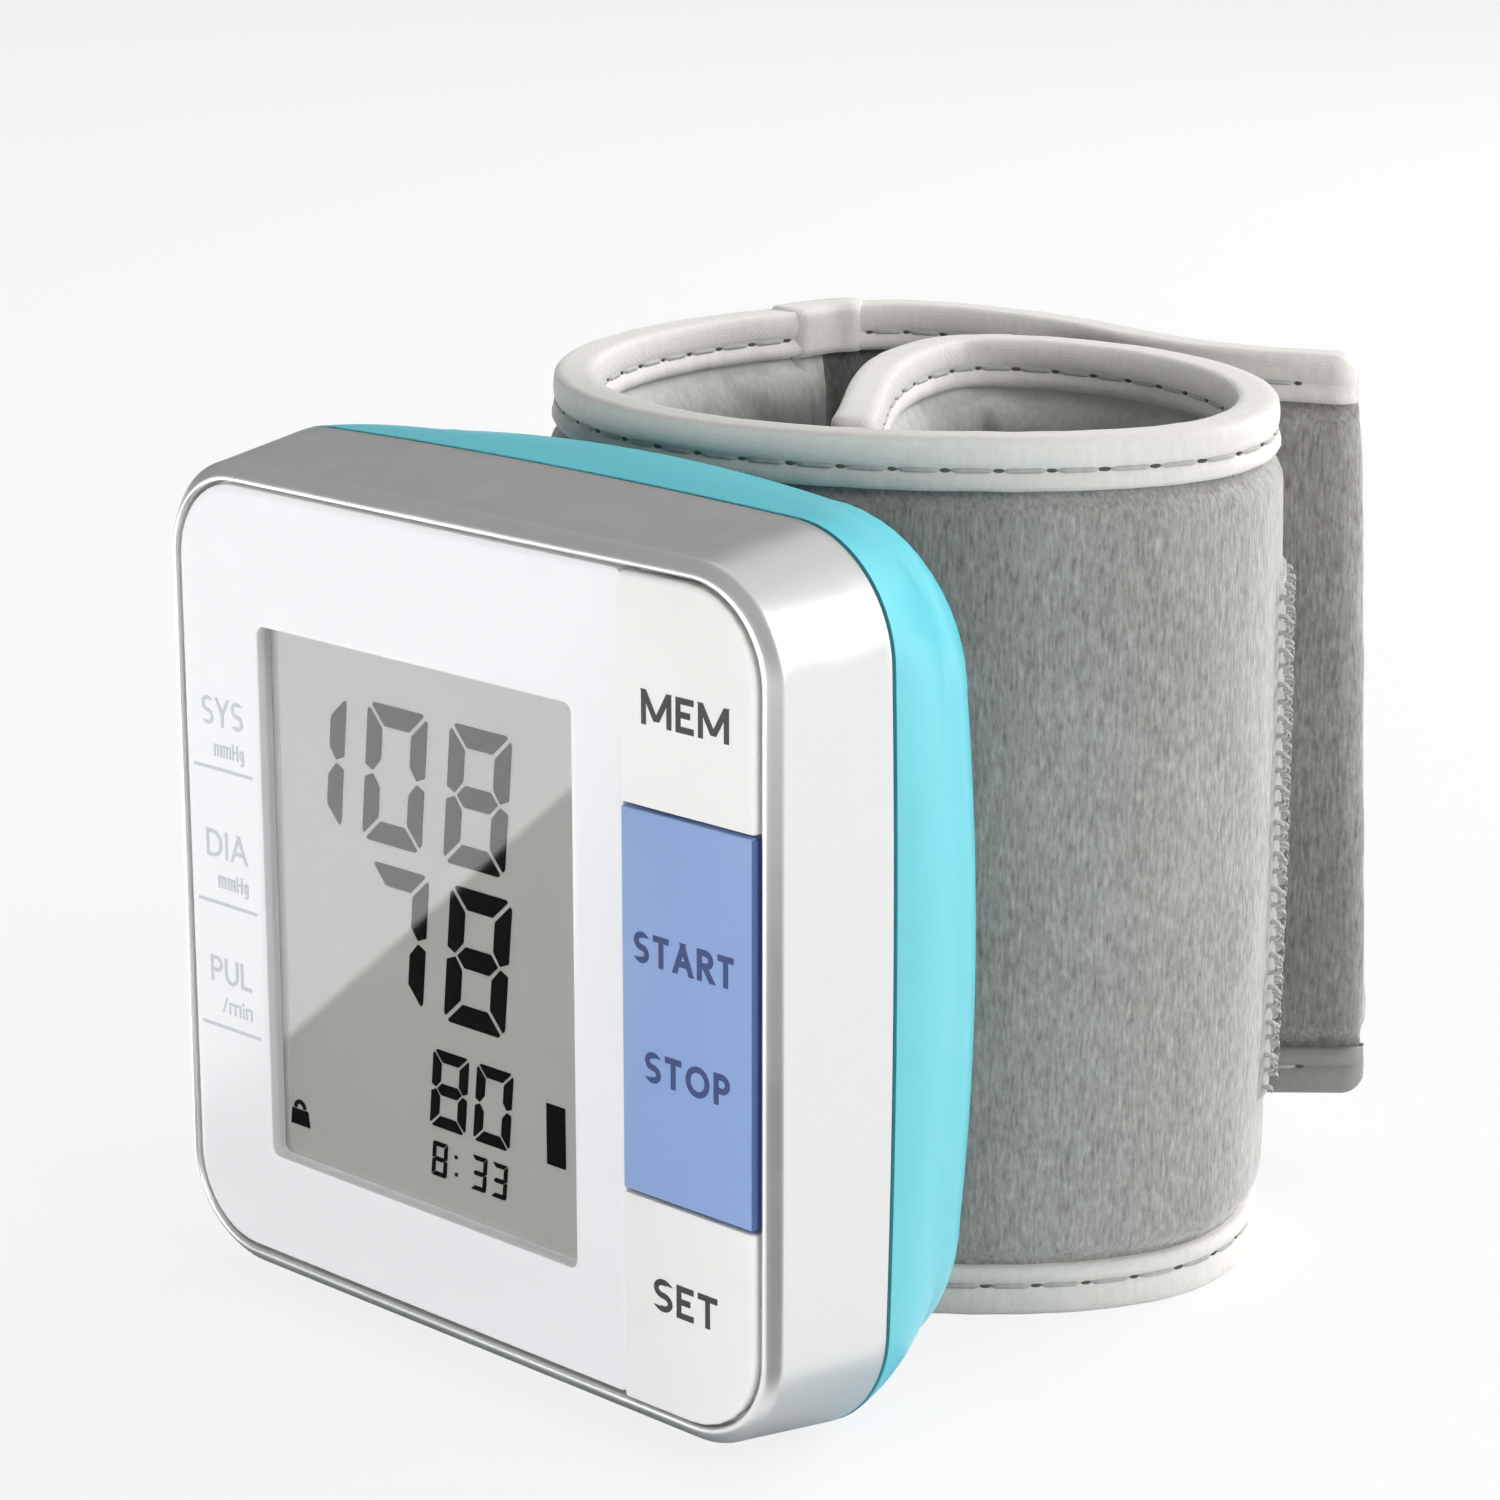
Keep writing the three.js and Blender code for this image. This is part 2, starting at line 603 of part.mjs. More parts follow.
// Two cells, head to tail, with springs and contacts
const cellSpots = [[cellX, 1], [cellX + cellPitch, -1]];
const wireCurve = (x, turn) => {
  const curve = new THREE.Curve();
  const low = bayHalf - CONTACT_T - GAP - WIRE_D / 2 - 0.1;
  const high = low - SPRING_L + WIRE_D + 0.4;
  curve.getPoint = (t, target = new THREE.Vector3()) => {
    const a = 2 * Math.PI * SPRING_TURNS * t;
    const r = 3.6 - 1.2 * t;
    return target.set(x + r * Math.cos(a), cellY + r * Math.sin(a), -turn * (low + (high - low) * t));
  };
  return curve;
};
cellSpots.forEach(([x, turn], i) => {
  const tip = bayHalf - CONTACT_T - 2 * GAP;
  const foot = tip - CELL_L;
  const r = CELL_D / 2;
  const profile = [
    [0, foot], [r - 1, foot], [r, foot + 0.6], [r, tip - NUB_L - 0.6], [r - 0.8, tip - NUB_L],
    [NUB_D / 2, tip - NUB_L], [NUB_D / 2, tip], [0, tip],
  ].map(([a, h]) => [a, turn * h]);
  add(`battery_${i + 1}`, turned(turn > 0 ? profile : profile.reverse(), x, cellY), 0x2e5fa8, 0.35, 0.3);
  const wire = new THREE.Shape();
  wire.absarc(0, 0, WIRE_D / 2, 0, 2 * Math.PI, false);
  const spring = new THREE.ExtrudeGeometry(wire, {
    steps: 10 * SPRING_TURNS,
    extrudePath: wireCurve(x, turn),
    curveSegments: 3,
  });
  add(`battery_spring_${i + 1}`, toSolid(spring), 0xb9bcc0, 0.3, 1);
});
const contactW = 8;
const zContact = bayHalf - GAP - CONTACT_T;
function contact(x0, x1, sign) {
  const [a, b] = [sign * zContact, sign * (zContact + CONTACT_T)].sort((p, q) => p - q);
  return box(x0, x1, cellY - contactW / 2, cellY + contactW / 2, a, b);
}
const [firstX, secondX] = [cellX, cellX + cellPitch];
add('contact_bridge', contact(firstX - contactW / 2, secondX + contactW / 2, 1), 0xc7c9cc, 0.3, 1);
add('contact_minus', contact(firstX - contactW / 2, firstX + contactW / 2, -1), 0xc7c9cc, 0.3, 1);
add('contact_plus', contact(secondX - contactW / 2, secondX + contactW / 2, -1), 0xc7c9cc, 0.3, 1);

// Pump: motor can, shaft with eccentric, head with its chamber
const motorTop = -10;
const motorLow = motorTop - MOTOR_L;
const shaftRoom = SHAFT_D + 2 * GAP;
const motor = turned([
  [0, motorLow], [MOTOR_D / 2 - 0.8, motorLow], [MOTOR_D / 2, motorLow + 0.8],
  [MOTOR_D / 2, motorTop - 0.8], [MOTOR_D / 2 - 0.8, motorTop], [0, motorTop],
], PUMP_X, PUMP_Y).subtract(barZ(shaftRoom, PUMP_X, PUMP_Y, motorTop - 6, motorTop + 1));
add('pump_motor', motor, 0xb5b8bb, 0.35, 0.9);
const camZ = motorTop + 2;
const camT = 2.4;
const shaft = barZ(SHAFT_D, PUMP_X, PUMP_Y, motorTop - SHAFT_IN, camZ + camT + SHAFT_OUT)
  .add(barZ(CAM_D, PUMP_X + CAM_THROW, PUMP_Y, camZ, camZ + camT));
add('pump_shaft', shaft, 0x9da0a3, 0.3, 1);
const headLow = motorTop + GAP;
const headTop = headLow + HEAD_L;
const chamberD = CAM_D + 2 * CAM_THROW + 1.4;
const head = box(
  PUMP_X - HEAD_W / 2,
  PUMP_X + HEAD_W / 2,
  PUMP_Y - HEAD_W / 2,
  PUMP_Y + HEAD_W / 2,
  headLow,
  headTop,
).subtract(barZ(chamberD, PUMP_X, PUMP_Y, headLow - 1, camZ + camT + 2.4))
  .add(barZ(STUB_D, PUMP_X, PUMP_Y, headTop - 1, headTop + STUB_L));
add('pump_head', head, 0x2c2d30, 0.5);

// Air manifold: body with three stubs and the nozzle through the back of the housing
const manifoldD = 7;
const manifoldR = manifoldD / 2;
const tubeBore = STUB_D + 2 * GAP;
const frontWallY = BACK_Y + SEAT + OUTER_OUT + CROWN;
const manifold = addAll(barY(manifoldD, PUMP_X, NOZZLE_Z, PUMP_Y - manifoldR, backIn - GAP), [
  barY(NOZZLE_D, PUMP_X, NOZZLE_Z, PUMP_Y, frontWallY),
  barZ(STUB_D, PUMP_X, PUMP_Y, NOZZLE_Z - manifoldR - STUB_L, NOZZLE_Z),
  barZ(STUB_D, PUMP_X, PUMP_Y, NOZZLE_Z, NOZZLE_Z + manifoldR + STUB_L - 1),
  barX(STUB_D, PUMP_Y, NOZZLE_Z, PUMP_X, PUMP_X + manifoldR + STUB_L),
]).subtract(barY(1.6, PUMP_X, NOZZLE_Z, PUMP_Y + 1, FAR));
add('air_manifold', manifold, 0xe6e6e2, 0.45);
const valveTop = -7;
const lowEnd = headTop + GAP;
const highEnd = NOZZLE_Z - manifoldR - GAP;
add('tube_pump', barZ(TUBE_OD, PUMP_X, PUMP_Y, lowEnd, highEnd)
  .subtract(barZ(tubeBore, PUMP_X, PUMP_Y, lowEnd - 1, highEnd + 1)), 0xd9dcd6, 0.6);
const sideX = PUMP_X + manifoldR + GAP;
add('tube_valve', hose([
  new THREE.Vector3(sideX, PUMP_Y, NOZZLE_Z),
  new THREE.Vector3(sideX + STUB_L, PUMP_Y, NOZZLE_Z),
  new THREE.Vector3(VALVE_X - 1.5, PUMP_Y, NOZZLE_Z - 3.2),
  new THREE.Vector3(VALVE_X, PUMP_Y, valveTop + STUB_L + 3),
  new THREE.Vector3(VALVE_X, PUMP_Y, valveTop + GAP),
], TUBE_OD, tubeBore), 0xd9dcd6, 0.6);
const topZ = NOZZLE_Z + manifoldR + GAP;
const sensorY = onBoard + sensorT + GAP;
add('tube_sensor', hose([
  new THREE.Vector3(PUMP_X, PUMP_Y, topZ),
  new THREE.Vector3(PUMP_X, PUMP_Y, topZ + STUB_L),
  new THREE.Vector3(PUMP_X + 4, PUMP_Y + 2.4, topZ + STUB_L + 4.2),
  new THREE.Vector3(sensorX - 2.6, PUMP_Y + 3, sensorZ + 2),
  new THREE.Vector3(sensorX, sensorY + STUB_L, sensorZ),
  new THREE.Vector3(sensorX, sensorY, sensorZ),
], TUBE_OD, tubeBore), 0xd9dcd6, 0.6);

// Release valve with its plunger
const valveLow = valveTop - VALVE_L;
const plungerRod = 3;
const valve = barZ(VALVE_D, VALVE_X, PUMP_Y, valveLow, valveTop)
  .add(barZ(STUB_D, VALVE_X, PUMP_Y, valveTop - 1, valveTop + STUB_L))
  .subtract(barZ(plungerRod + 2 * GAP, VALVE_X, PUMP_Y, valveLow - 1, valveTop - 3));
add('valve_body', valve, 0x3b3d42, 0.45, 0.4);
const rod = barZ(plungerRod, VALVE_X, PUMP_Y, valveLow - STOP_OUT, valveTop - 3 - GAP - VALVE_TRAVEL)
  .add(barZ(STOP_D, VALVE_X, PUMP_Y, valveLow - STOP_OUT, valveLow - GAP - VALVE_TRAVEL));
add('valve_plunger', rod, 0xa4a7aa, 0.35, 1);

// Screws: pan head with a cross recess, along the depth axis, head at the larger depth
function screw(x, z, seatY, length, headD, headT) {
  const profile = [
    [0, -length], [SCREW_D / 2 - 0.5, -length], [SCREW_D / 2, -length + 1], [SCREW_D / 2, 0],
    [headD / 2, 0], [headD / 2, headT * 0.55], [headD / 2 - 0.5, headT], [0, headT],
  ];
  const points = profile.map(([r, h]) => new THREE.Vector2(r, h));
  const geometry = new THREE.LatheGeometry(points, 10);
  geometry.translate(x, seatY, z);
  const [arm, slot] = [headD * 0.3, 0.35];
  const top = seatY + headT;
  const deep = top - headT * 0.55;
  return cutAll(toSolid(geometry), [
    box(x - arm, x + arm, deep, top + 1, z - slot, z + slot),
    box(x - slot, x + slot, deep, top + 1, z - arm, z + arm),
  ]);
}
screwSpots.forEach(([x, z], i) => {
  add(`case_screw_${i + 1}`, screw(x, z, headSeat + GAP, SCREW_L, HEAD_D, HEAD_T), 0x8e9194, 0.35, 1);
});

// Plan curve of the cuff, walked with the outer face on the right hand
const flat = (x, y) => new THREE.Vector3(x, y, 0);
function bend(from, leave, to, arrive, full) {
  const d = to.clone().sub(from);
  const reach = (v) => full * (Math.abs(v.x * d.x) + Math.abs(v.y * d.y));
  const a = from.clone().addScaledVector(leave, reach(leave));
  const b = to.clone().addScaledVector(arrive, -reach(arrive));
  return new THREE.CubicBezierCurve3(from, a, b, to);
}
const [right, left, back, front] = [flat(1, 0), flat(-1, 0), flat(0, 1), flat(0, -1)];
const creaseGap = TAIL_NOSE + GAP + 0.4;
const creaseEnd = flat(CREASE_X - 0.2, CREASE_Y - creaseGap);
const leftMost = flat(-LEFT_REACH, LEFT_Y);
const touch = flat(TANGENT_X, frontWallY);
const rightMost = flat(RIGHT_REACH, RIGHT_Y);
const ringBack = flat(RING_BACK_X, RING_BACK_Y);
const ringLeft = flat(RING_LEFT_X, RING_LEFT_Y);
const tip = flat(TIP_X, TIP_Y);
const inward = flat(0.55, -0.83).normalize();
const strip = new THREE.CurvePath();
strip.add(bend(creaseEnd, front, leftMost, front, 0.4));
strip.add(bend(leftMost, front, touch, right, 0.55));
strip.add(bend(touch, right, rightMost, back, 0.45));
strip.add(bend(rightMost, back, ringBack, left, 0.5));
strip.add(bend(ringBack, left, ringLeft, front, 0.55));
strip.add(bend(ringLeft, front, tip, inward, 0.35));

// Stations along a curve: place, outward normal and share of the length
function stations(curve, steps) {
  const spots = curve.getSpacedPoints(steps);
  return spots.map((p, i) => {
    const a = spots[Math.max(0, i - 1)];
    const b = spots[Math.min(steps, i + 1)];
    const t = b.clone().sub(a).normalize();
    return { p, n: flat(t.y, -t.x), s: i / steps };
  });
}
const ahead = (q) => flat(-q.n.y, q.n.x);
// Sweep of a closed profile, points [across, height], given for each station.
// The line's end reaches further by lean from the top of the cuff to its bottom
function sweep(line, profileAt, lean = 0) {
  const rings = line.map((q) => profileAt(q).map(([n, z]) => {
    const point = q.p.clone().addScaledVector(q.n, n);
    point.addScaledVector(ahead(q), lean * q.s * (0.5 - z / CUFF_H));
    return point.setZ(z + CUFF_LIFT);
  }));
  return skin(rings, ladder(rings[0].length));
}
const cuffHalf = CUFF_H / 2;
const bindLow = cuffHalf - BIND_H;
const openZ = bindLow - GAP - PINCH;
// Closing of the layers: 1 in the padded middle, 0 at the sewn edge
function padded(z) {
  const t = Math.min(1, Math.max(0, (bindLow - GAP - Math.abs(z)) / PINCH));
  return t * t * (3 - 2 * t);
}
const mix = (a, b, t) => a + (b - a) * t;
const crown = (z) => CROWN * (1 - (z / openZ) ** 2) * (Math.abs(z) < openZ ? 1 : 0);
const edgeHeights = [cuffHalf, bindLow - GAP, openZ];
const mirrored = (list) => [...list, ...[...list].reverse().map((z) => -z)];
function layer(heights, outerAt, innerAt) {
  const out = heights.map((z) => [outerAt(z), z]);
  const inn = [...heights].reverse().map((z) => [innerAt(z), z]);
  return [...out, ...inn];
}
const outerHeights = mirrored([...edgeHeights, openZ / 2]);
const liningHeights = mirrored(edgeHeights);
const outerFace = (z) => mix(EDGE_OUT, OUTER_OUT, padded(z)) + crown(z);
const cuffLine = stations(strip, CUFF_STEPS);
const holes = [
  barY(NOZZLE_D + 2, PUMP_X, NOZZLE_Z, BACK_Y, frontWallY + 3),
  ...cuffSpots.map(([x, z]) => barY(SCREW_D + 1, x, z, BACK_Y, frontWallY + 3)),
];
const outerFabric = sweep(cuffLine, () => layer(
  outerHeights,
  outerFace,
  (z) => mix(EDGE_SPLIT, OUTER_IN, padded(z)),
));
add('cuff_outer_fabric', cutAll(outerFabric, holes), 0x8d8d8b, 0.95);
add('cuff_lining', sweep(cuffLine, () => layer(
  liningHeights,
  (z) => -mix(EDGE_SPLIT, LINING_OUT, padded(z)),
  (z) => -mix(EDGE_IN, LINING_IN, padded(z)),
)), 0xc6c6c4, 0.9);

// Stretches of the plan curve for the former, bladder and hook patch
function stretch(from, to) {
  return cuffLine.filter((q) => q.s >= from && q.s <= to);
}
const formerHalf = openZ - 1;
const former = sweep(stretch(0.22, 0.96), () => layer(
  [formerHalf, -formerHalf],
  () => FORMER_T / 2,
  () => -FORMER_T / 2,
));
add('cuff_former', cutAll(former, holes), 0xe9e9e6, 0.5);
const bladderHalf = formerHalf - 1;
const bladderOut = FORMER_T / 2 + GAP;
const bladderLine = cuffLine.filter((q) => q.s < 0.8 && q.s > 0.3 && q.p.x > CUFF_SCREW_X + 4.5);
const bladderFirst = bladderLine.findIndex((q, i) => i > 0 && q.p.y > RIGHT_Y);
const bladderRun = bladderLine.slice(0, bladderFirst + 6);
add('cuff_bladder', sweep(bladderRun, () => layer(
  [bladderHalf, bladderHalf - 2, -bladderHalf + 2, -bladderHalf],
  (z) => -bladderOut - (Math.abs(z) < bladderHalf ? 0 : BLADDER_T * 0.3),
  (z) => -bladderOut - BLADDER_T + (Math.abs(z) < bladderHalf ? 0 : BLADDER_T * 0.3),
)), 0x6e6f73, 0.7);
const patchHalf = PATCH_H / 2;
const patchRun = stretch(PATCH_FROM, PATCH_TO);
add('hook_patch', sweep(patchRun, () => layer(
  [patchHalf, 0, -patchHalf],
  (z) => outerFace(z) + GAP + PATCH_T,
  (z) => outerFace(z) + GAP,
)), 0xb9bab6, 0.9);

// U-shaped binding over a sewn edge at height z, sign tells top from bottom
function bindProfile(z, sign, inner, outer) {
  const low = z - sign * BIND_H;
  const roof = z + sign * GAP;
  const top = roof + sign * BIND_T;
  const [a, b] = [inner + GAP, outer + GAP];
  const third = (a + b) / 3;
  return [
    [-a - BIND_T, low], [-a - BIND_T, roof], [-a, top], [b, top], [b + BIND_T, roof], [b + BIND_T, low],
    [b, low], [b, roof], [b - third, roof], [third - a, roof], [-a, roof], [-a, low],
  ];
}
const bindColor = 0xc9c9c6;
const bindLine = cuffLine;
add('binding_top', sweep(bindLine, () => bindProfile(cuffHalf, 1, EDGE_IN, EDGE_OUT)), bindColor, 0.9);
add('binding_bottom', sweep(bindLine, () => bindProfile(-cuffHalf, -1, EDGE_IN, EDGE_OUT)), bindColor, 0.9);

// Tail strap, sewn on at the crease, with a round nose about the crease
const crease = flat(CREASE_X, CREASE_Y);
const tailBack = flat(TAIL_BACK_X, TAIL_BACK);
const patchOut = OUTER_OUT + CROWN + GAP + PATCH_T;
const tailNear = flat(RING_BACK_X, RING_BACK_Y + patchOut + GAP + TAIL_MID + 0.2);
const tailEnd = flat(TAIL_END_X, TAIL_END_Y);
const tailCurve = new THREE.CurvePath();
tailCurve.add(bend(crease, flat(0.35, 0.94).normalize(), tailBack, right, 0.5));
tailCurve.add(bend(tailBack, right, tailNear, right, 0.45));
tailCurve.add(bend(tailNear, right, tailEnd, flat(0.9, 0.44).normalize(), 0.4));
const tailLine = stations(tailCurve, TAIL_STEPS);
const tailTip = tailLine[TAIL_STEPS];
const moved = (q, d) => ({ ...q, p: q.p.clone().addScaledVector(ahead(q), d) });
const tailLow = (s) => -cuffHalf + TAIL_TAPER * s;
function tailHeights(s) {
  const [top, low] = [cuffHalf, tailLow(s)];
  const ends = [0, BIND_H + GAP, BIND_H + GAP + PINCH];
  return [...ends.map((d) => top - d), (top + low) / 2, ...[...ends].reverse().map((d) => low + d)];
}
function tailHalf(s, k) {
  const bulge = [0, 0, 1, 1.1, 1, 0, 0][k];
  const full = mix(TAIL_EDGE, TAIL_MID, bulge);
  const start = Math.min(1, s / 0.12);
  const nose = k === 0 || k === 6 || k === 1 || k === 5 ? TAIL_EDGE : TAIL_NOSE;
  return mix(nose, full, start);
}
const tailBody = sweep([...tailLine, { ...moved(tailTip, TAIL_ROUND), end: true }], ({ s, end }) => {
  const heights = tailHeights(s);
  const half = (k) => (end ? TAIL_EDGE * 0.7 : tailHalf(s, k));
  const out = heights.map((z, k) => [half(k), z]);
  const inn = heights.map((z, k) => [-half(k), z]).reverse();
  return [...out, ...inn];
}, TAIL_LEAN);
const noseHalf = bindLow - GAP - PINCH;
const nose = barZ(2 * TAIL_NOSE, CREASE_X, CREASE_Y, CUFF_LIFT - noseHalf, CUFF_LIFT + noseHalf);
add('tail_strap', tailBody.add(nose), 0x8d8d8b, 0.95);
const tailBind = tailLine.slice(2, -1).concat(moved(tailTip, TAIL_ROUND - TAIL_BARE));
add('tail_binding_top', sweep(tailBind, () => (
  bindProfile(cuffHalf, 1, TAIL_EDGE, TAIL_EDGE)
), TAIL_LEAN), bindColor, 0.9);
add('tail_binding_bottom', sweep(tailBind, ({ s }) => (
  bindProfile(tailLow(s), -1, TAIL_EDGE, TAIL_EDGE)
), TAIL_LEAN), bindColor, 0.9);

// Two screws hold the cuff's former to the housing
const cuffSeat = frontWallY + FORMER_T / 2 + GAP + 0.25;
cuffSpots.forEach(([x, z], i) => {
  add(`cuff_screw_${i + 1}`, screw(x, z, cuffSeat, CUFF_SCREW_L, HEAD_D, 0.9), 0x8e9194, 0.35, 1);
});

// Origin: middle of the base
const group = new THREE.Group();
group.name = 'wrist_blood_pressure_monitor';
parts.forEach((mesh) => group.add(mesh));
const extent = new THREE.Box3().setFromObject(group);
const middle = extent.getCenter(new THREE.Vector3());
for (const mesh of parts) mesh.geometry.translate(-middle.x, -middle.y, -extent.min.z);

export default group;
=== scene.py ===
"""Looks of a wrist blood pressure monitor with a wound cuff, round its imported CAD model.

Lengths are in millimetres about the middle of the front plate: x right, y back, z up.
at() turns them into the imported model's frame, in metres.
"""
import json
import math

import bmesh
import bpy
import numpy as np
from mathutils import Matrix, Vector, noise
from mathutils.bvhtree import BVHTree

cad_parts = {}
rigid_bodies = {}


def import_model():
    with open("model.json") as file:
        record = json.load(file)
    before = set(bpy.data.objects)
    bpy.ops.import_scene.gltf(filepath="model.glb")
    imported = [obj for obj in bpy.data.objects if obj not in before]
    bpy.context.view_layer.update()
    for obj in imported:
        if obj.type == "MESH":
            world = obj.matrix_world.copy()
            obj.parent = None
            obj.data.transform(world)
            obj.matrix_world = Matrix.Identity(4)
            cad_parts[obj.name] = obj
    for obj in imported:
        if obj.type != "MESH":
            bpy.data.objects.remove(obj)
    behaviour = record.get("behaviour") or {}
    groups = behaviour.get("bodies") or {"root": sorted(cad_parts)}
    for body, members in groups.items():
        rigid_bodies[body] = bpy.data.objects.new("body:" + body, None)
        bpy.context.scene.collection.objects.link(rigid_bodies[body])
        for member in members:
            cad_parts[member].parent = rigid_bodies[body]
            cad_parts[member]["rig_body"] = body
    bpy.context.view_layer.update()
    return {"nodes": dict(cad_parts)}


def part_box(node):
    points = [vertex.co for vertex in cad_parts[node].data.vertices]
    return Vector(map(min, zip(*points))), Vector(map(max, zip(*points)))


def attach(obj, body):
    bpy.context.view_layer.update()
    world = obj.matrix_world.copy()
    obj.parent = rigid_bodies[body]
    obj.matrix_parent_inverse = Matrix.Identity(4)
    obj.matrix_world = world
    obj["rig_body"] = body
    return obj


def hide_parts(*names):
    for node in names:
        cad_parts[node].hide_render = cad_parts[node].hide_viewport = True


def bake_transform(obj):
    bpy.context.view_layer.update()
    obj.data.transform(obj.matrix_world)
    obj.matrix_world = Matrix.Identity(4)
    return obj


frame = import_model()

MM = 0.001
bezel_low, bezel_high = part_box("bezel_frame")
ORIGIN = np.array([
    (bezel_low.x + bezel_high.x) / 2,
    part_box("front_plate")[0].y,
    (bezel_low.z + bezel_high.z) / 2,
])

# Case, as in the CAD source
LIP_W, LIP_H, LIP_R = 35.0, 34.9, 8.8
LIP_RISE = 0.2
FLARE, FRAME_BOW, PART_Y, SEAM = 1.5, 0.4, 11.0, 0.15
BACK_Y, BACK_ROUND, ROUNDER = 25.6, 6.0, 3.4
SIDE_TAPER, TOP_TAPER, SIDE_BOW, TOP_BOW = 2.2, 0.8, 1.2, 1.1
WALL, GAP, GRIP_DEPTH = 1.8, 0.3, 0.5
PLATE_T, PLATE_EDGE, EASE = 1.5, 1.8, 0.25
WINDOW = (-23.55, 13.35, -24.25, 21.65)
WINDOW_R = 0.8
KEYS_X, KEY_FACE = 19.2, -0.6
LCD_FACE = 1.8

# Cuff, as in the CAD source
CUFF_HALF, CUFF_LIFT = 36.7, 0.5
OUTER_OUT, CROWN, LINING_IN = 2.3, 0.4, 2.9
EDGE_OUT, EDGE_IN = 1.1, 0.8
BIND_H, BIND_T, PINCH = 3.5, 0.6, 1.8
BIND_LOW = CUFF_HALF - BIND_H
OPEN = BIND_LOW - GAP - PINCH
PATCH_HALF = 23.0
TAIL_MID, TAIL_EDGE, TAIL_NOSE, TAIL_TAPER = 2.2, 1.0, 1.6, 6.2
TAIL_LEAN, TAIL_ROUND = 3.0, 1.2
CREASE = np.array([-33.4, 79.5])
STITCH = 4.1
CASE, TAIL = "monitor", "tail"


def at(points):
    return ORIGIN + MM * np.asarray(points, float)


def srgb(r, g, b):
    """Linear colour of an sRGB colour in steps of 255."""
    parts = [v / 255 for v in (r, g, b)]
    return [v / 12.92 if v < 0.04 else ((v + 0.055) / 1.055) ** 2.4 for v in parts]


# Materials

# Between these a noise texture has most of its values
NOISE_LOW, NOISE_HIGH = 0.3, 0.7


def add_node(tree, kind, inputs, **settings):
    """A new shader node; each input gets a value or the output that feeds it."""
    made = tree.nodes.new("ShaderNode" + kind)
    for key, value in settings.items():
        setattr(made, key, value)
    for socket, value in inputs.items():
        if isinstance(value, bpy.types.NodeSocket):
            tree.links.new(value, made.inputs[socket])
        else:
            made.inputs[socket].default_value = value
    return made


def set_ramp(ramp, stops):
    """Output of a colour ramp with those stops (place, colour)."""
    elements = ramp.color_ramp.elements
    while len(elements) < len(stops):
        elements.new(0.5)
    for element, (where, colour) in zip(elements, stops):
        element.position = where
        element.color = [*colour, 1]
    return ramp.outputs["Color"]


def mix_surface(tree, factor, first, second, output):
    """Feeds the output node with two shaders, mixed by a factor."""
    mix = add_node(tree, "MixShader", {"Fac": factor, 1: first, 2: second})
    tree.links.new(mix.outputs["Shader"], tree.nodes[output].inputs["Surface"])


class Looks:
    """A node material: one Principled shader and the textures that feed it."""

    def __init__(self, name, rough, **sockets):
        self.material = bpy.data.materials.new(name)
        self.material.use_nodes = True
        self.tree = self.material.node_tree
        self.shader = self.tree.nodes["Principled BSDF"]
        self.shader.inputs["Roughness"].default_value = rough
        for socket, value in sockets.items():
            self.shader.inputs[socket.replace("_", " ")].default_value = value
        self.place = self.node("TexCoord").outputs["Object"]

    def node(self, kind, inputs=None, **settings):
        return add_node(self.tree, kind, inputs or {}, **settings)

    def feed(self, socket, source):
        self.tree.links.new(source, self.shader.inputs[socket])
        return self

    def axis(self, name):
        """Place along an axis of the frame, in metres."""
        return self.node("SeparateXYZ", {"Vector": self.place}).outputs[name]

    def noise(self, size, detail=3.0, stretch=(1, 1, 1), turbulence=0.5):
        """Noise whose blobs are about size millimetres, times stretch along each axis."""
        scale = [1 / (size * MM * s) for s in stretch]
        mapped = self.node("Mapping", {"Vector": self.place, "Scale": scale}).outputs["Vector"]
        inputs = {"Vector": mapped, "Scale": 1.0, "Detail": detail, "Roughness": turbulence}
        return self.node("TexNoise", inputs).outputs["Fac"]

    def ribs(self, pitch, direction):
        """Fine waves of that pitch in millimetres along an axis."""
        scale = math.pi / (10 * pitch * MM)
        inputs = {"Vector": self.place, "Scale": scale, "Distortion": 0.6, "Detail Scale": 2.0}
        made = self.node("TexWave", inputs, bands_direction=direction, wave_profile="SIN")
        return made.outputs["Fac"]

    def blend(self, kind, a, b=0.0):
        return self.node("Math", {0: a, 1: b}, operation=kind).outputs["Value"]

    def span(self, value, start, stop, low, high):
        """Goes from low to high while the value goes from start to stop."""
        inputs = {"Value": value, "From Min": start, "From Max": stop, "To Min": low, "To Max": high}
        return self.node("MapRange", inputs).outputs["Result"]

    def painted_shade(self, share, axis, start, stop):
        """Painted shade: 1 up to start, falling to share at stop, in millimetres along an axis."""
        middle = ORIGIN["XYZ".index(axis)]
        return self.span(self.axis(axis), middle + start * MM, middle + stop * MM, 1.0, share)

    def colours(self, factor, stops, light=None):
        """Base colour from a factor through colour stops (place, colour), times a light share."""
        colour = set_ramp(self.node("ValToRGB", {"Fac": factor}), stops)
        if light:
            inputs = {"Vector": colour, "Scale": light}
            colour = self.node("VectorMath", inputs, operation="SCALE").outputs["Vector"]
        return self.feed("Base Color", colour)

    def vary(self, colour, amount, factor, light=None):
        """The colour, darker and lighter by a share where a noise is low and high."""
        darker = [c * (1 - amount) for c in colour]
        lighter = [min(1, c * (1 + amount)) for c in colour]
        return self.colours(factor, [(NOISE_LOW, darker), (NOISE_HIGH, lighter)], light)

    def roughness(self, factor, low, high):
        return self.feed("Roughness", self.span(factor, NOISE_LOW, NOISE_HIGH, low, high))

    def bump(self, height, depth):
        inputs = {"Height": height, "Distance": depth * MM, "Strength": 1.0}
        return self.feed("Normal", self.node("Bump", inputs).outputs["Normal"])


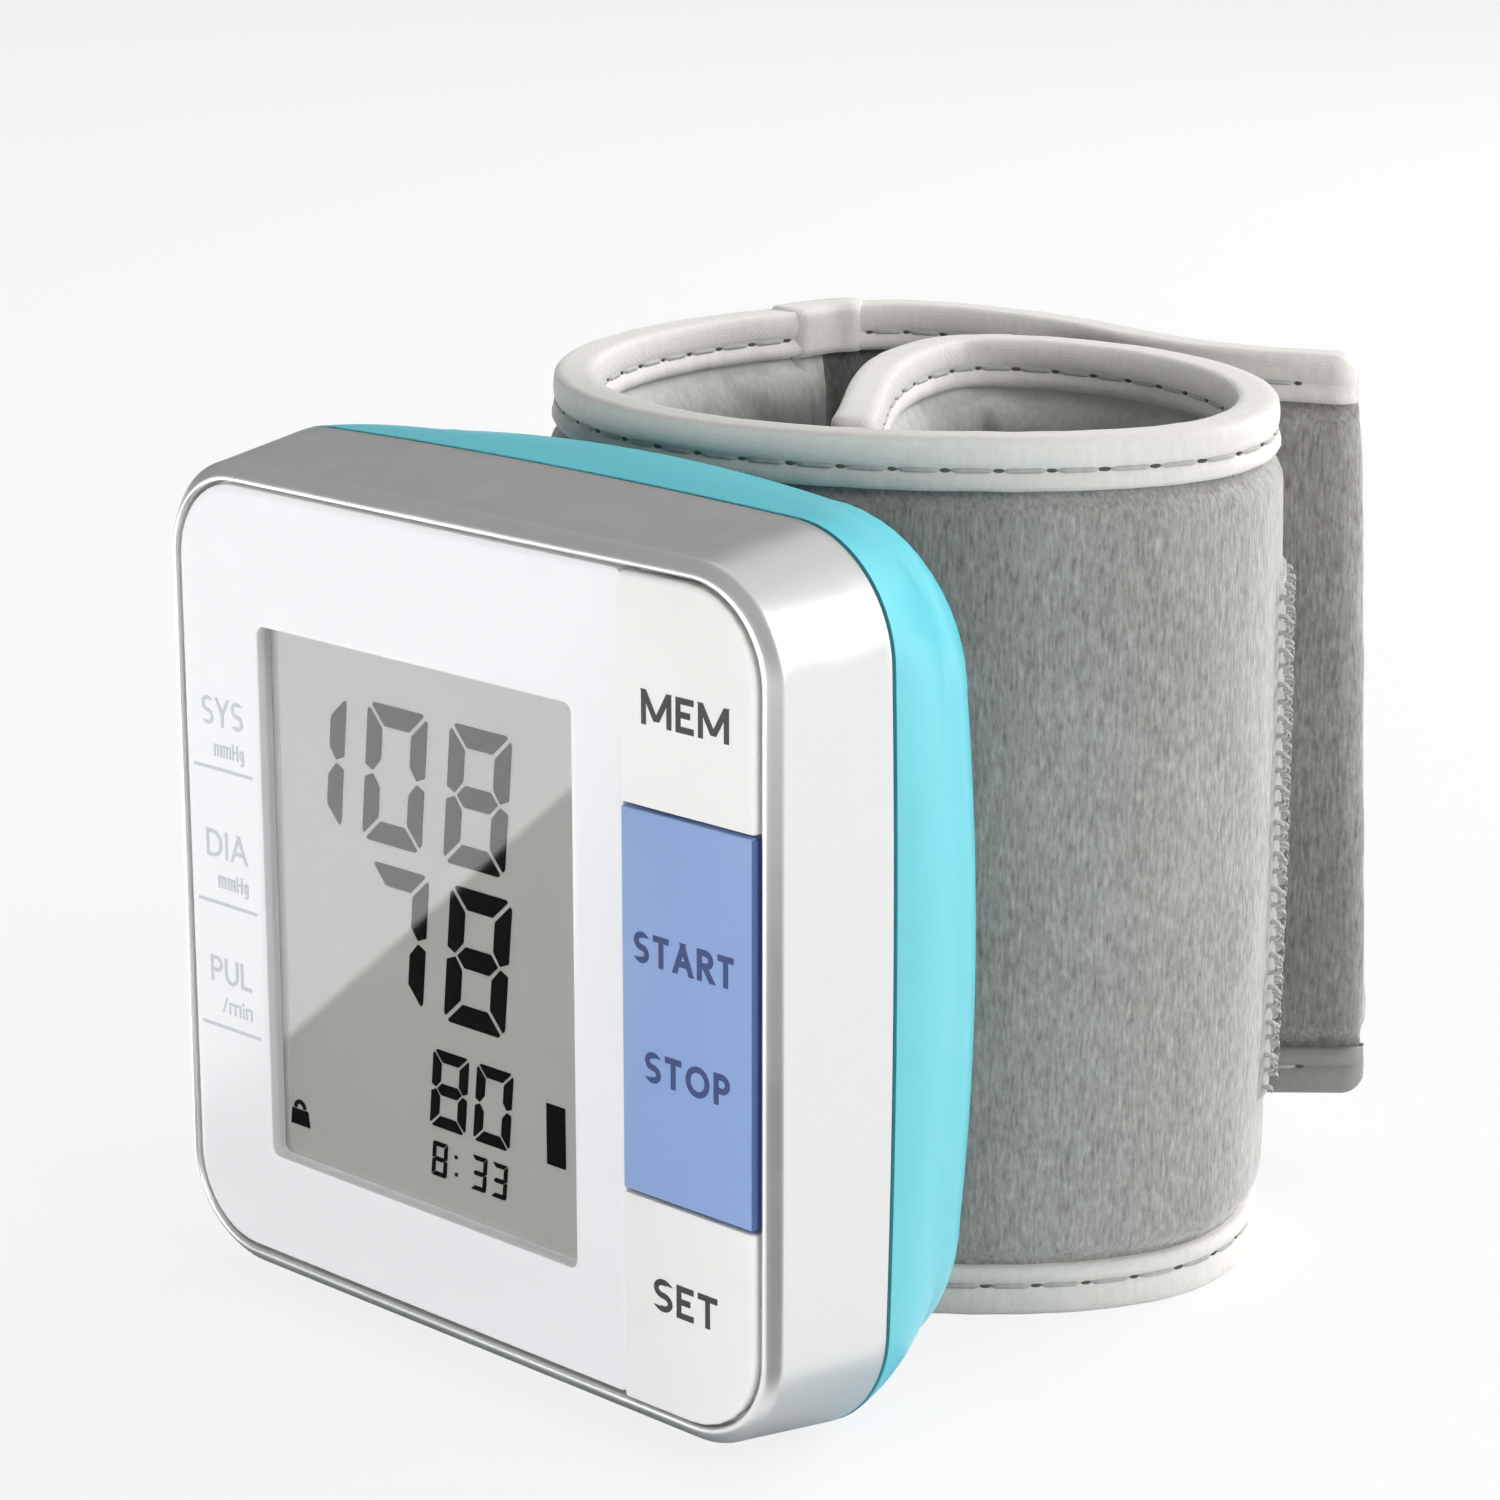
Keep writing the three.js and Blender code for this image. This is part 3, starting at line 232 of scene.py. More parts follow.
def plastic(name, colour, rough, grain=0.35, depth=0.004, vary=0.02, **sockets):
    """Moulded plastic: a little mottling, uneven gloss and a fine grain."""
    looks = Looks(name, rough, **sockets)
    looks.vary(colour, vary, looks.noise(9, 4))
    looks.roughness(looks.noise(5, 4), rough * 0.85, rough * 1.15)
    return looks.bump(looks.noise(grain, 2), depth).material


def metal(name, colour, rough, stretch=(1, 1, 1), depth=0.004, vary=0.05):
    looks = Looks(name, rough, Metallic=1.0)
    fine = looks.noise(0.5, 3, stretch)
    looks.vary(colour, vary, fine)
    looks.roughness(looks.noise(4, 3), rough * 0.92, rough * 1.08)
    return looks.bump(fine, depth).material


def velour(name, sheen, *painted_shades):
    """Loop velour: upright streaks, dark flecks, soft sheen; each painted shade darkens it on one side."""
    looks = Looks(name, 0.95, Sheen_Weight=sheen, Sheen_Roughness=0.45)
    pile = looks.blend("MULTIPLY", looks.noise(0.3, 2, (1, 1, 5)), 0.45)
    fleck = looks.blend("MULTIPLY", looks.noise(0.7, 3, (1, 1, 1.7), 0.6), 0.4)
    cloud = looks.blend("MULTIPLY", looks.noise(9, 3, (1, 1, 1.5)), 0.15)
    mixed = looks.blend("ADD", pile, fleck)
    light = looks.painted_shade(*painted_shades[0])
    for painted_shade in painted_shades[1:]:
        light = looks.blend("MULTIPLY", light, looks.painted_shade(*painted_shade))
    greys = [(0.32, 116), (0.46, 147), (0.56, 162), (0.70, 185)]
    stops = [(stop, srgb(g + 1, g - 1, g - 5)) for stop, g in greys]
    looks.colours(looks.blend("ADD", mixed, cloud), stops, light)
    return looks.bump(mixed, 0.16).material


def woven(name, colour, pitch, depth, sheen=0.2, vary=0.1):
    """Close weave: crossing ribs with an uneven thread colour, and painted shade that greys it behind the
    case.
    """
    looks = Looks(name, 0.85, Sheen_Weight=sheen, Sheen_Roughness=0.4)
    across = looks.blend("ADD", looks.ribs(pitch, "Z"), looks.ribs(pitch, "DIAGONAL"))
    thread = looks.noise(0.6, 3, (1, 1, 2.5))
    # Painted shade: greyer behind the case.
    looks.vary(colour, vary, thread, light=looks.painted_shade(0.72, "Y", 44, 29))
    height = looks.blend("ADD", looks.blend("MULTIPLY", across, 0.2), thread)
    return looks.bump(height, depth).material


def lining():
    """Smooth weave, with painted shade that greys it towards the middle of its height."""
    looks = Looks("pale_lining", 0.85, Sheen_Weight=0.2, Sheen_Roughness=0.4)
    middle = ORIGIN[2] + CUFF_LIFT * MM
    away = looks.blend("ABSOLUTE", looks.blend("SUBTRACT", looks.axis("Z"), middle))
    share = looks.blend("MULTIPLY", away, 1 / (CUFF_HALF * MM))
    thread = looks.noise(0.6, 3, (1, 1, 2.5))
    mixed = looks.blend("ADD", share, looks.blend("MULTIPLY", thread, 0.1))
    # Painted shade: dark grey at the middle of the height, pale towards the edges.
    greys = [(0.5, (84, 84, 82)), (0.82, (142, 142, 139)), (0.94, (194, 194, 191))]
    looks.colours(mixed, [(stop, srgb(*grey)) for stop, grey in greys])
    return looks.bump(thread, 0.06).material


def window_pane():
    """Clear pane that lets straight light through to the display."""
    glass = {"Base_Color": (0.97, 0.98, 0.98, 1), "Transmission_Weight": 1.0, "IOR": 1.45}
    looks = Looks("clear_window", 0.02, **glass)
    looks.bump(looks.noise(8, 2), 0.0004)
    straight = looks.node("LightPath").outputs["Is Shadow Ray"]
    clear = looks.node("BsdfTransparent").outputs["BSDF"]
    mix_surface(looks.tree, straight, looks.shader.outputs["BSDF"], clear, "Material Output")
    return looks.material


def display():
    """Reflective display: grey-green with a fine speckle."""
    looks = Looks("display", 0.55, Specular_IOR_Level=0.1)
    speckle = looks.noise(0.12, 2)
    cloud = looks.noise(14, 2)
    mixed = looks.blend("MULTIPLY", looks.blend("ADD", speckle, cloud), 0.5)
    looks.vary(srgb(150, 150, 146), 0.02, mixed)
    return looks.bump(speckle, 0.002).material


def cell_wrap():
    """Printed sleeve of a cell: a wide and a narrow band, no words."""
    looks = Looks("cell_wrap", 0.3, Metallic=0.4)
    height = looks.blend("MULTIPLY", looks.axis("Z"), 1 / (76 * MM))
    blue = srgb(38, 84, 150)
    gold, dark_gold = srgb(196, 150, 62), srgb(190, 144, 58)
    looks.colours(height, [(0.0, blue), (0.66, blue), (0.67, gold), (1.0, dark_gold)])
    return looks.bump(looks.noise(0.6, 3), 0.003).material


def board():
    """Solder mask with faint tracks under it."""
    looks = Looks("board_green", 0.35, Coat_Weight=0.3)
    inputs = {"Vector": looks.place, "Scale": 320.0}
    edge = looks.node("TexVoronoi", inputs, feature="DISTANCE_TO_EDGE").outputs["Distance"]
    looks.colours(edge, [(0.04, srgb(44, 120, 78)), (0.10, srgb(22, 88, 54))])
    return looks.bump(edge, 0.02).material


WHITE_GLOSS = plastic(
    "white_gloss", srgb(242, 243, 245), 0.2, grain=4, depth=0.002, vary=0.008, Specular_IOR_Level=0.3
)
SILVER = metal("silver_frame", srgb(236, 237, 235), 0.36, depth=0.0003, vary=0.012)
AQUA = plastic("aqua_plastic", srgb(80, 191, 204), 0.34, grain=3, depth=0.004, vary=0.012, IOR=2.0)
KEY_WHITE = plastic("key_white", srgb(240, 240, 237), 0.4, grain=2, depth=0.003, Specular_IOR_Level=0.2)
KEY_BLUE = plastic("key_blue", srgb(142, 168, 215), 0.4, grain=2, depth=0.003, Specular_IOR_Level=0.2)
# A darker blue on the blue key's right-facing faces: painted shade.
KEY_BLUE_SHADED_SIDE = plastic("key_blue_shaded_side", srgb(74, 100, 150), 0.4, grain=2, depth=0.003)
WHITE_PLASTIC = plastic("white_plastic", srgb(228, 228, 222), 0.5)
BLACK_PLASTIC = plastic("black_plastic", srgb(34, 34, 36), 0.5, vary=0.15)
BLACK_RUBBER = plastic("black_rubber", srgb(52, 52, 54), 0.75, vary=0.1)
STEEL = metal("steel", srgb(176, 178, 182), 0.3)
CAN = metal("switch_metal", srgb(182, 184, 186), 0.36, (1, 1, 6))
TUBE = plastic("air_tube", srgb(214, 216, 210), 0.55, Transmission_Weight=0.15)
PANE, DISPLAY, CELL, BOARD = window_pane(), display(), cell_wrap(), board()
# Painted shade: the velour darkens behind the case, where the case shades it.
VELOUR = velour("grey_velour", 0.6, (0.52, "Y", 41, 30))
# Painted shade: darker towards the crease and towards the bottom, on the tail's inner face.
SHADED_VELOUR = velour("shaded_velour", 0.5, (0.3, "X", -20, -31), (0.68, "Z", 10, -30))
LINING = lining()
BINDING = woven("pale_binding", srgb(219, 216, 211), 0.32, 0.035, 0.25, 0.04)
# A darker copy of the binding: painted shade on the front of the tail's lower tape.
SHADED_BINDING = woven("shaded_binding", srgb(146, 146, 143), 0.32, 0.035, 0.1, 0.04)
HOOKS = plastic("hook_tape", srgb(168, 169, 165), 0.6, vary=0.08)
THREAD = woven("thread", srgb(176, 176, 172), 0.2, 0.05)
# Painted shade: the dark lumps at the stitch ends stand for the shade in the stitch holes.
HOLE_SHADE = plastic("stitch_hole_shade", srgb(80, 79, 76), 0.9, vary=0.2)
SEGMENT = plastic("segment_ink", srgb(6, 6, 6), 0.8, vary=0.15, Specular_IOR_Level=0.0)
KEY_INK = plastic("key_ink", srgb(48, 50, 52), 0.5, vary=0.1)
BLUE_INK = plastic("blue_key_ink", srgb(44, 66, 118), 0.5, vary=0.1)
PLATE_INK = plastic("plate_ink", srgb(200, 203, 209), 0.5, vary=0.03)


# Meshes

# Points nearer than this, in metres, are one
WELD = 1e-6


def quads(rows, cols, loop_rows=False):
    """Faces of a grid whose columns close into rings, and its rows too where asked."""
    faces = []
    for r in range(rows if loop_rows else rows - 1):
        a, b = r * cols, (r + 1) % rows * cols
        faces += [(a + c, a + (c + 1) % cols, b + (c + 1) % cols, b + c) for c in range(cols)]
    return faces


def linked(name, data):
    """A new object of the scene with that data."""
    obj = bpy.data.objects.new(name, data)
    bpy.context.scene.collection.objects.link(obj)
    return obj


def mesh_object(name, points, faces):
    """A new object with that mesh, its points in millimetres."""
    mesh = bpy.data.meshes.new(name)
    mesh.from_pydata(at(points).tolist(), [], faces)
    mesh.validate()
    obj = linked(name, mesh)
    tidy_mesh(obj)
    return obj


def tidy_mesh(obj, weld=0.0, flat=0.0):
    """Welds points, joins flat faces and turns all faces outward."""
    bm = bmesh.new()
    bm.from_mesh(obj.data)
    if weld:
        bmesh.ops.remove_doubles(bm, verts=bm.verts, dist=weld)
        bmesh.ops.dissolve_degenerate(bm, dist=weld, edges=bm.edges)
    if flat:
        bmesh.ops.dissolve_limit(bm, angle_limit=math.radians(flat), verts=bm.verts, edges=bm.edges)
    bmesh.ops.recalc_face_normals(bm, faces=bm.faces)
    bm.to_mesh(obj.data)
    bm.free()


def painted(obj, looks, index_of):
    """Several materials on a mesh; index_of tells each polygon's own."""
    for material in looks:
        obj.data.materials.append(material)
    for polygon in obj.data.polygons:
        polygon.material_index = int(index_of(polygon))
    return obj


def dress(obj, looks, body, slot, sharp=35, replaced=()):
    """Shading, material and body of a finished piece."""
    mesh = obj.data
    if "custom_normal" in mesh.attributes:
        mesh.attributes.remove(mesh.attributes["custom_normal"])
    mesh.shade_smooth()
    mesh.set_sharp_from_angle(angle=math.radians(sharp))
    if not mesh.materials:
        mesh.materials.append(looks)
    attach(obj, body)
    if replaced:
        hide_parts(*replaced)
    return obj


def applied(obj):
    """The object with its modifiers made part of its mesh."""
    graph = bpy.context.evaluated_depsgraph_get()
    mesh = bpy.data.meshes.new_from_object(obj.evaluated_get(graph))
    obj.modifiers.clear()
    old, obj.data = obj.data, mesh
    bpy.data.meshes.remove(old)
    return obj


def refined(node, name, looks, slot, bevel=0.0, side=None):
    """A welded copy of a CAD node with eased edges; side is the material of its right side, a darker copy
    that paints shade there.
    """
    mesh = frame["nodes"][node].data.copy()
    mesh.materials.clear()
    obj = linked(name, mesh)
    tidy_mesh(obj, WELD, 1.0)
    if bevel:
        modifier = obj.modifiers.new("edges", "BEVEL")
        modifier.width = bevel * MM
        modifier.segments = 2
        modifier.limit_method = "ANGLE"
        modifier.angle_limit = math.radians(40)
        tidy_mesh(applied(obj), 2 * WELD)
    if side:
        painted(obj, [looks, side], lambda polygon: polygon.normal.x > 0.3)
    return dress(obj, looks, frame["nodes"][node]["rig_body"], slot, 35, [node])


def at_depth(ring, y):
    """Points (x, z) of a ring set up at depth y."""
    return np.stack([ring[:, 0], np.full(len(ring), y), ring[:, 1]], 1)


def outline(x0, x1, z0, z1, radii, y, corner=10, side=6, bows=(0.0, 0.0)):
    """Rounded rectangle at depth y from its top right corner on, sides bowed outward."""
    centres = [(x1, z1, -1, -1), (x0, z1, 1, -1), (x0, z0, 1, 1), (x1, z0, -1, 1)]
    lifts = np.array([(0, bows[1]), (-bows[0], 0), (0, -bows[1]), (bows[0], 0)])
    arcs = []
    for k, ((x, z, sx, sz), r) in enumerate(zip(centres, radii)):
        a = (k + np.linspace(0, 1, corner + 1)) * math.pi / 2
        arcs.append(np.stack([x + r * (sx + np.cos(a)), z + r * (sz + np.sin(a))], 1))
    ring = []
    t = np.arange(1, side)[:, None] / side
    for arc_now, arc_next, lift in zip(arcs, arcs[1:] + arcs[:1], lifts):
        start, stop = arc_now[-1], arc_next[0]
        ring += [arc_now, start + t * (stop - start) + (1 - (2 * t - 1) ** 2) * lift]
    return at_depth(np.concatenate(ring), y)


def centred(half_w, half_h, radius, y, **steps):
    return outline(-half_w, half_w, -half_h, half_h, [max(0.2, radius)] * 4, y, **steps)


def closed(rings):
    """Points and faces of a solid through rings, the last joined to the first."""
    return np.concatenate(rings), quads(len(rings), len(rings[0]), True)


def loft(rings):
    """Points and faces of a solid through rings, its ends closed."""
    count = len(rings[0])
    last = count * (len(rings) - 1)
    faces = quads(len(rings), count)
    faces += [tuple(range(count)), tuple(range(last, last + count))]
    return np.concatenate(rings), faces


def prism(ring, y0, y1):
    """Points and faces of a flat shape given as (x, z), between two depths."""
    return loft([at_depth(np.array(ring), y) for y in (y0, y1)])


def block(x0, x1, y0, y1, z0, z1):
    return prism([(x0, z0), (x1, z0), (x1, z1), (x0, z1)], y0, y1)


def bar_y(d, x, z, y0, y1, steps=28):
    a = np.arange(steps) * 2 * math.pi / steps
    return prism(np.stack([x + d / 2 * np.cos(a), z + d / 2 * np.sin(a)], 1), y0, y1)


def carve(obj, operation, *tools):
    """Boolean of obj with each tool, an object or points and faces, which is used up."""
    for tool in tools:
        if isinstance(tool, tuple):
            tool = mesh_object("tool", *tool)
        modifier = obj.modifiers.new("carve", "BOOLEAN")
        modifier.operation = operation
        modifier.solver = "EXACT"
        modifier.object = tool
        applied(obj)
        mesh = tool.data
        bpy.data.objects.remove(tool)
        bpy.data.meshes.remove(mesh)
    return obj


# Silver frame and white plate

LEDGE_BACK = 3.3


def bezel():
    """A closed profile (outward, back) swept round the lip: lip, flank, parting edge, wall, ledge."""
    def share(y):
        return max(0.0, y - 1.0) / (PART_Y - 1.0)

    end = PART_Y - SEAM
    side_end = FLARE * share(end)
    lip = [(-1.5, 0.3), (-1.5, -0.02), (-1.45, -0.13), (-1.33, -0.19), (-1.18, -LIP_RISE)]
    slope = [(-1.18 + t * 1.0, -LIP_RISE + 0.82 * t ** 1.25) for t in (0.25, 0.5, 0.75, 0.95)]
    shoulder = [(-0.06, 0.76), (-0.01, 0.9), (0.03, 1.1)]
    flank = [(FLARE * share(y), y) for y in (2, 4, 6, 8, 10, end - 0.2)]
    edge = [(side_end - 0.06, end - 0.05), (side_end - 0.2, end)]
    inner = [(side_end - WALL, end), (FLARE * share(LEDGE_BACK) - WALL, LEDGE_BACK)]
    ledge = [(-6.0, LEDGE_BACK), (-6.0, PLATE_T + GAP), (-1.5, PLATE_T + GAP)]
    rings = []
    for g, y in lip + slope + shoulder + flank + edge + inner + ledge:
        bows = (FRAME_BOW * share(y),) * 2
        rings.append(centred(LIP_W + g, LIP_H + g, LIP_R + g, y, corner=20, side=12, bows=bows))
    obj = mesh_object("silver_bezel", *closed(rings))
    return dress(obj, SILVER, CASE, "silver_frame", 42, ["bezel_frame"])


def front_plate():
    """White plate up to the keys, round the window."""
    w, h, r = LIP_W - PLATE_EDGE, LIP_H - PLATE_EDGE, LIP_R - PLATE_EDGE
    edge = KEYS_X - SEAM
    outer = [(0, PLATE_T), (0, EASE), (0.07, 0.08), (EASE, 0), (EASE + 0.5, 0)]
    inner = [(0.75, 0), (0.25, 0), (0.07, 0.06), (0, 0.25), (0, LCD_FACE - 0.02)]
    rings = [
        outline(-w + i, edge - i, -h + i, h - i, [0.9 - i / 2, r - i, r - i, 0.9 - i / 2], y)
        for i, y in outer
    ]
    x0, x1, z0, z1 = WINDOW
    rings += [
        outline(x0 - i, x1 + i, z0 - i, z1 + i, [WINDOW_R + i] * 4, y) for i, y in inner
    ]
    obj = mesh_object("white_plate", *closed(rings))
    return dress(obj, WHITE_GLOSS, CASE, "white_gloss", 42, ["front_plate"])


# Aqua rear shell and its battery cover, carved from one fine solid

PART_W, PART_H, PART_R = LIP_W + FLARE, LIP_H + FLARE, LIP_R + FLARE
TAPER_Y = BACK_Y - BACK_ROUND
CELL_D, CELL_GAP, CELL_BACK = 10.5, 0.6, 0.45
BAY_HALF, BAY_LEFT, BAY_WALL = 25.25, -33.6, 1
COVER_T = WALL - GAP
CELL_X = -(PART_W - SIDE_TAPER - COVER_T - GAP - CELL_D / 2)
BACK_IN = BACK_Y - WALL
CELL_Y = BACK_IN - GAP - CELL_BACK - CELL_D / 2
BAY_FRONT = CELL_Y - CELL_D / 2 - GAP
BAY_RIGHT = CELL_X + CELL_D + CELL_GAP + CELL_D / 2 + GAP
SCREWS = [(22, 29.4), (-22, 29.4), (-22, -29.4), (22, -29.4)]
POST_D, HEAD_D, HEAD_IN, SHANK_D = 6.4, 4.8, 5.6, 2.8
NOZZLE, NOZZLE_D = (4, 14), 4.6
RIB_Z, RIB_W, RIB_T = 12, 2, 1.2
GRIP_Z, GRIP_PITCH, GRIP_W = -BAY_HALF + 6, 1.8, 0.9
# Depth in front of the shell, and a distance past everything, for tools that cut right through
BEFORE, FAR = PART_Y - 5, 60


def shell(inset, start=PART_Y):
    """The rear shell as a solid, inset from its outer face, its front at depth start."""
    rings = []
    fine = {"corner": 14, "side": 16}
    for t in np.linspace(0, 1, 8):
        w = PART_W - SIDE_TAPER * t * t - inset
        h = PART_H - TOP_TAPER * t * t - inset
        y = PART_Y + t * (TAPER_Y - PART_Y)
        bows = [FRAME_BOW + t * (bow - FRAME_BOW) for bow in (SIDE_BOW, TOP_BOW)]
        rings.append(centred(w, h, PART_R + ROUNDER * t - inset, y, bows=bows, **fine))
    reach = BACK_ROUND - inset
    for a in np.linspace(0, math.pi / 2, 10)[1:]:
        shrink = inset + reach * (1 - math.cos(a))
        radius = PART_R + ROUNDER - inset - reach * 0.6 * (1 - math.cos(a))
        y = TAPER_Y + (BACK_Y - inset - TAPER_Y) * math.sin(a)
        w, h = PART_W - SIDE_TAPER - shrink, PART_H - TOP_TAPER - shrink
        rings.append(centred(w, h, radius, y, bows=(SIDE_BOW, TOP_BOW), **fine))
    rings[0] = rings[0] * [1, 0, 1] + [0, start, 0]
    return loft(rings)


def door(grow):
    """Block that cuts the battery cover out of the shell, grown on all sides."""
    y0, y1 = BAY_FRONT + 0.1 - grow, CELL_Y + CELL_D / 2 + 0.25 + grow
    z = BAY_HALF + grow
    return block(-FAR, -(PART_W - SIDE_TAPER - BACK_ROUND), y0, y1, -z, z)


def rear_shell():
    obj = mesh_object("aqua_shell", *shell(0, PART_Y + SEAM))
    carve(obj, "DIFFERENCE", shell(WALL, BEFORE))
    # Screw posts and the bay's walls, which reach into the shell's own wall
    z = BAY_HALF + BAY_WALL
    bay = block(BAY_LEFT, BAY_RIGHT + BAY_WALL, BAY_FRONT - BAY_WALL, BACK_IN + WALL / 2, -z, z)
    for tool in [bar_y(POST_D, *screw, PART_Y + GAP, BACK_Y + 1) for screw in SCREWS] + [bay]:
        fill = mesh_object("fill", *shell(WALL / 3, PART_Y + SEAM))
        carve(obj, "UNION", carve(fill, "INTERSECT", tool))
    # The bay's room, a little inside the shell's inner face so that no two faces fall together
    room = mesh_object("room", *shell(WALL + 0.02, PART_Y))
    carve(room, "UNION", door(0))
    carve(room, "INTERSECT", block(-FAR, BAY_RIGHT, BAY_FRONT, BACK_Y, -BAY_HALF, BAY_HALF))
    carve(obj, "DIFFERENCE", room, door(GAP))
    for screw in SCREWS:
        head = bar_y(HEAD_D, *screw, BACK_Y - HEAD_IN, FAR)
        carve(obj, "DIFFERENCE", head, bar_y(SHANK_D, *screw, 0, FAR))
    carve(obj, "DIFFERENCE", bar_y(NOZZLE_D, *NOZZLE, BACK_IN - 2, FAR))
    tidy_mesh(obj, WELD)
    return dress(obj, AQUA, CASE, "aqua_plastic", 32, ["rear_housing"])


def battery_cover():
    """Piece of the shell with two ribs inside and the grooves of its grip outside."""
    obj = mesh_object("aqua_battery_cover", *shell(0, PART_Y + SEAM))
    carve(obj, "DIFFERENCE", shell(COVER_T, BEFORE))
    carve(obj, "INTERSECT", door(-0.04))
    inner = CELL_X - CELL_D / 2 - GAP - 0.1
    w, t = RIB_W / 2, RIB_T / 2
    for z in (RIB_Z, -RIB_Z):
        carve(obj, "UNION", block(-(PART_W - WALL), inner, CELL_Y - w, CELL_Y + w, z - t, z + t))
    w = GRIP_W / 2
    for k in (-1, 0, 1):
        z = GRIP_Z + GRIP_PITCH * k
        groove = mesh_object("groove", *block(-FAR, 0, CELL_Y - 3.6, CELL_Y + 1.6, z - w, z + w))
        carve(obj, "DIFFERENCE", carve(groove, "DIFFERENCE", shell(GRIP_DEPTH, BEFORE)))
    tidy_mesh(obj, WELD)
    return dress(obj, AQUA, "battery_door", "aqua_plastic", 32, ["battery_cover"])


# Display figures and printed words


def merged(name, solids):
    """One object from several solids given as points and faces."""
    points, faces, start = [], [], 0
    for some_points, some_faces in solids:
        points.append(np.asarray(some_points))
        faces += [tuple(start + i for i in face) for face in some_faces]
        start += len(some_points)
    return mesh_object(name, np.concatenate(points), faces)


# The figures lie behind the face on which their places were read off the photograph
FIGURE_SHIFT = (-1.5, -0.6)
SEGMENTS = {
    "0": "abcdef", "1": "bc", "3": "abcdg", "7": "abc", "8": "abcdefg",
}


def seven_segments(figure, x0, z0, w, h, s, gap, lean=0.1):
    """The lit segments of a figure in a box, as outlines."""
    m = h / 2
    c = 0.22 * s
    top = [
        (gap + c, h), (w - gap - c, h), (w - gap - c / 2, h - c / 2),
        (w - s - gap, h - s), (s + gap, h - s), (gap + c / 2, h - c / 2),
    ]
    right = [
        (w, h - gap - c), (w, m + gap / 2 + c), (w - s / 2, m + gap / 2),
        (w - s, m + s / 2 + gap), (w - s, h - s - gap), (w - c / 2, h - gap - c / 2),
    ]
    middle = [
        (s / 2 + gap, m), (s + gap, m + s / 2), (w - s - gap, m + s / 2),
        (w - s / 2 - gap, m), (w - s - gap, m - s / 2), (s + gap, m - s / 2),
    ]
    flip = lambda shape: [(x, h - z) for x, z in shape]
    mirror = lambda shape: [(w - x, z) for x, z in shape]
    shapes = {
        "a": top, "b": right, "c": flip(right), "d": flip(top),
        "e": mirror(flip(right)), "f": mirror(right), "g": middle,
    }
    return [
        [(x0 + x + lean * (z - h / 2), z0 + z) for x, z in shapes[k]] for k in SEGMENTS[figure]
    ]


def display_figures():
    shapes = []
    for text, right_edge, z0, w, h, s, gap, pitch in (
        ("108", 6.3, 6.2, 7.1, 11.7, 1.8, 0.3, 9.75),
        ("78", 6.0, -7.2, 7.1, 11.7, 1.8, 0.3, 9.7),
        ("80", 6.1, -16.6, 4.2, 6.7, 1.0, 0.17, 5.2),
    ):
        for k, figure in enumerate(reversed(text)):
            shapes += seven_segments(figure, right_edge - w - k * pitch, z0, w, h, s, gap)
    for figure, x in (("8", -3.4), ("3", 1.3), ("3", 3.7)):
        shapes += seven_segments(figure, x, -20.9, 1.75, 3.0, 0.38, 0.05)
    for z in (-18.7, -20.2):
        shapes.append([(-0.69, z - 0.14), (-0.41, z - 0.14), (-0.41, z + 0.14), (-0.69, z + 0.14)])
    shapes.append([(10.2, -16.4), (12.3, -16.4), (12.3, -11.3), (10.2, -11.3)])
    # Small padlock sign: a body with a bow over it
    shapes.append([(-21.2, -20.9), (-18.8, -20.9), (-19.0, -19.5), (-21.0, -19.5)])
    shapes.append(arc(-20.0, -19.4, 0.78, 0.78, 0, 180, 8) + arc(-20.0, -19.4, 0.4, 0.4, 180, 0, 8))
    shapes = [[(x + FIGURE_SHIFT[0], z + FIGURE_SHIFT[1]) for x, z in shape] for shape in shapes]
    solids = [prism(shape, LCD_FACE - 0.1, LCD_FACE - 0.02) for shape in shapes]
    obj = merged("display_figures", solids)
    return dress(obj, SEGMENT, CASE, "black_plastic")


def arc(x, z, rx, rz, start, stop, steps=12):
    """Points of an elliptic arc between two angles in degrees."""
    a = np.radians(np.linspace(start, stop, steps + 1))
    return list(zip(x + rx * np.cos(a), z + rz * np.sin(a)))


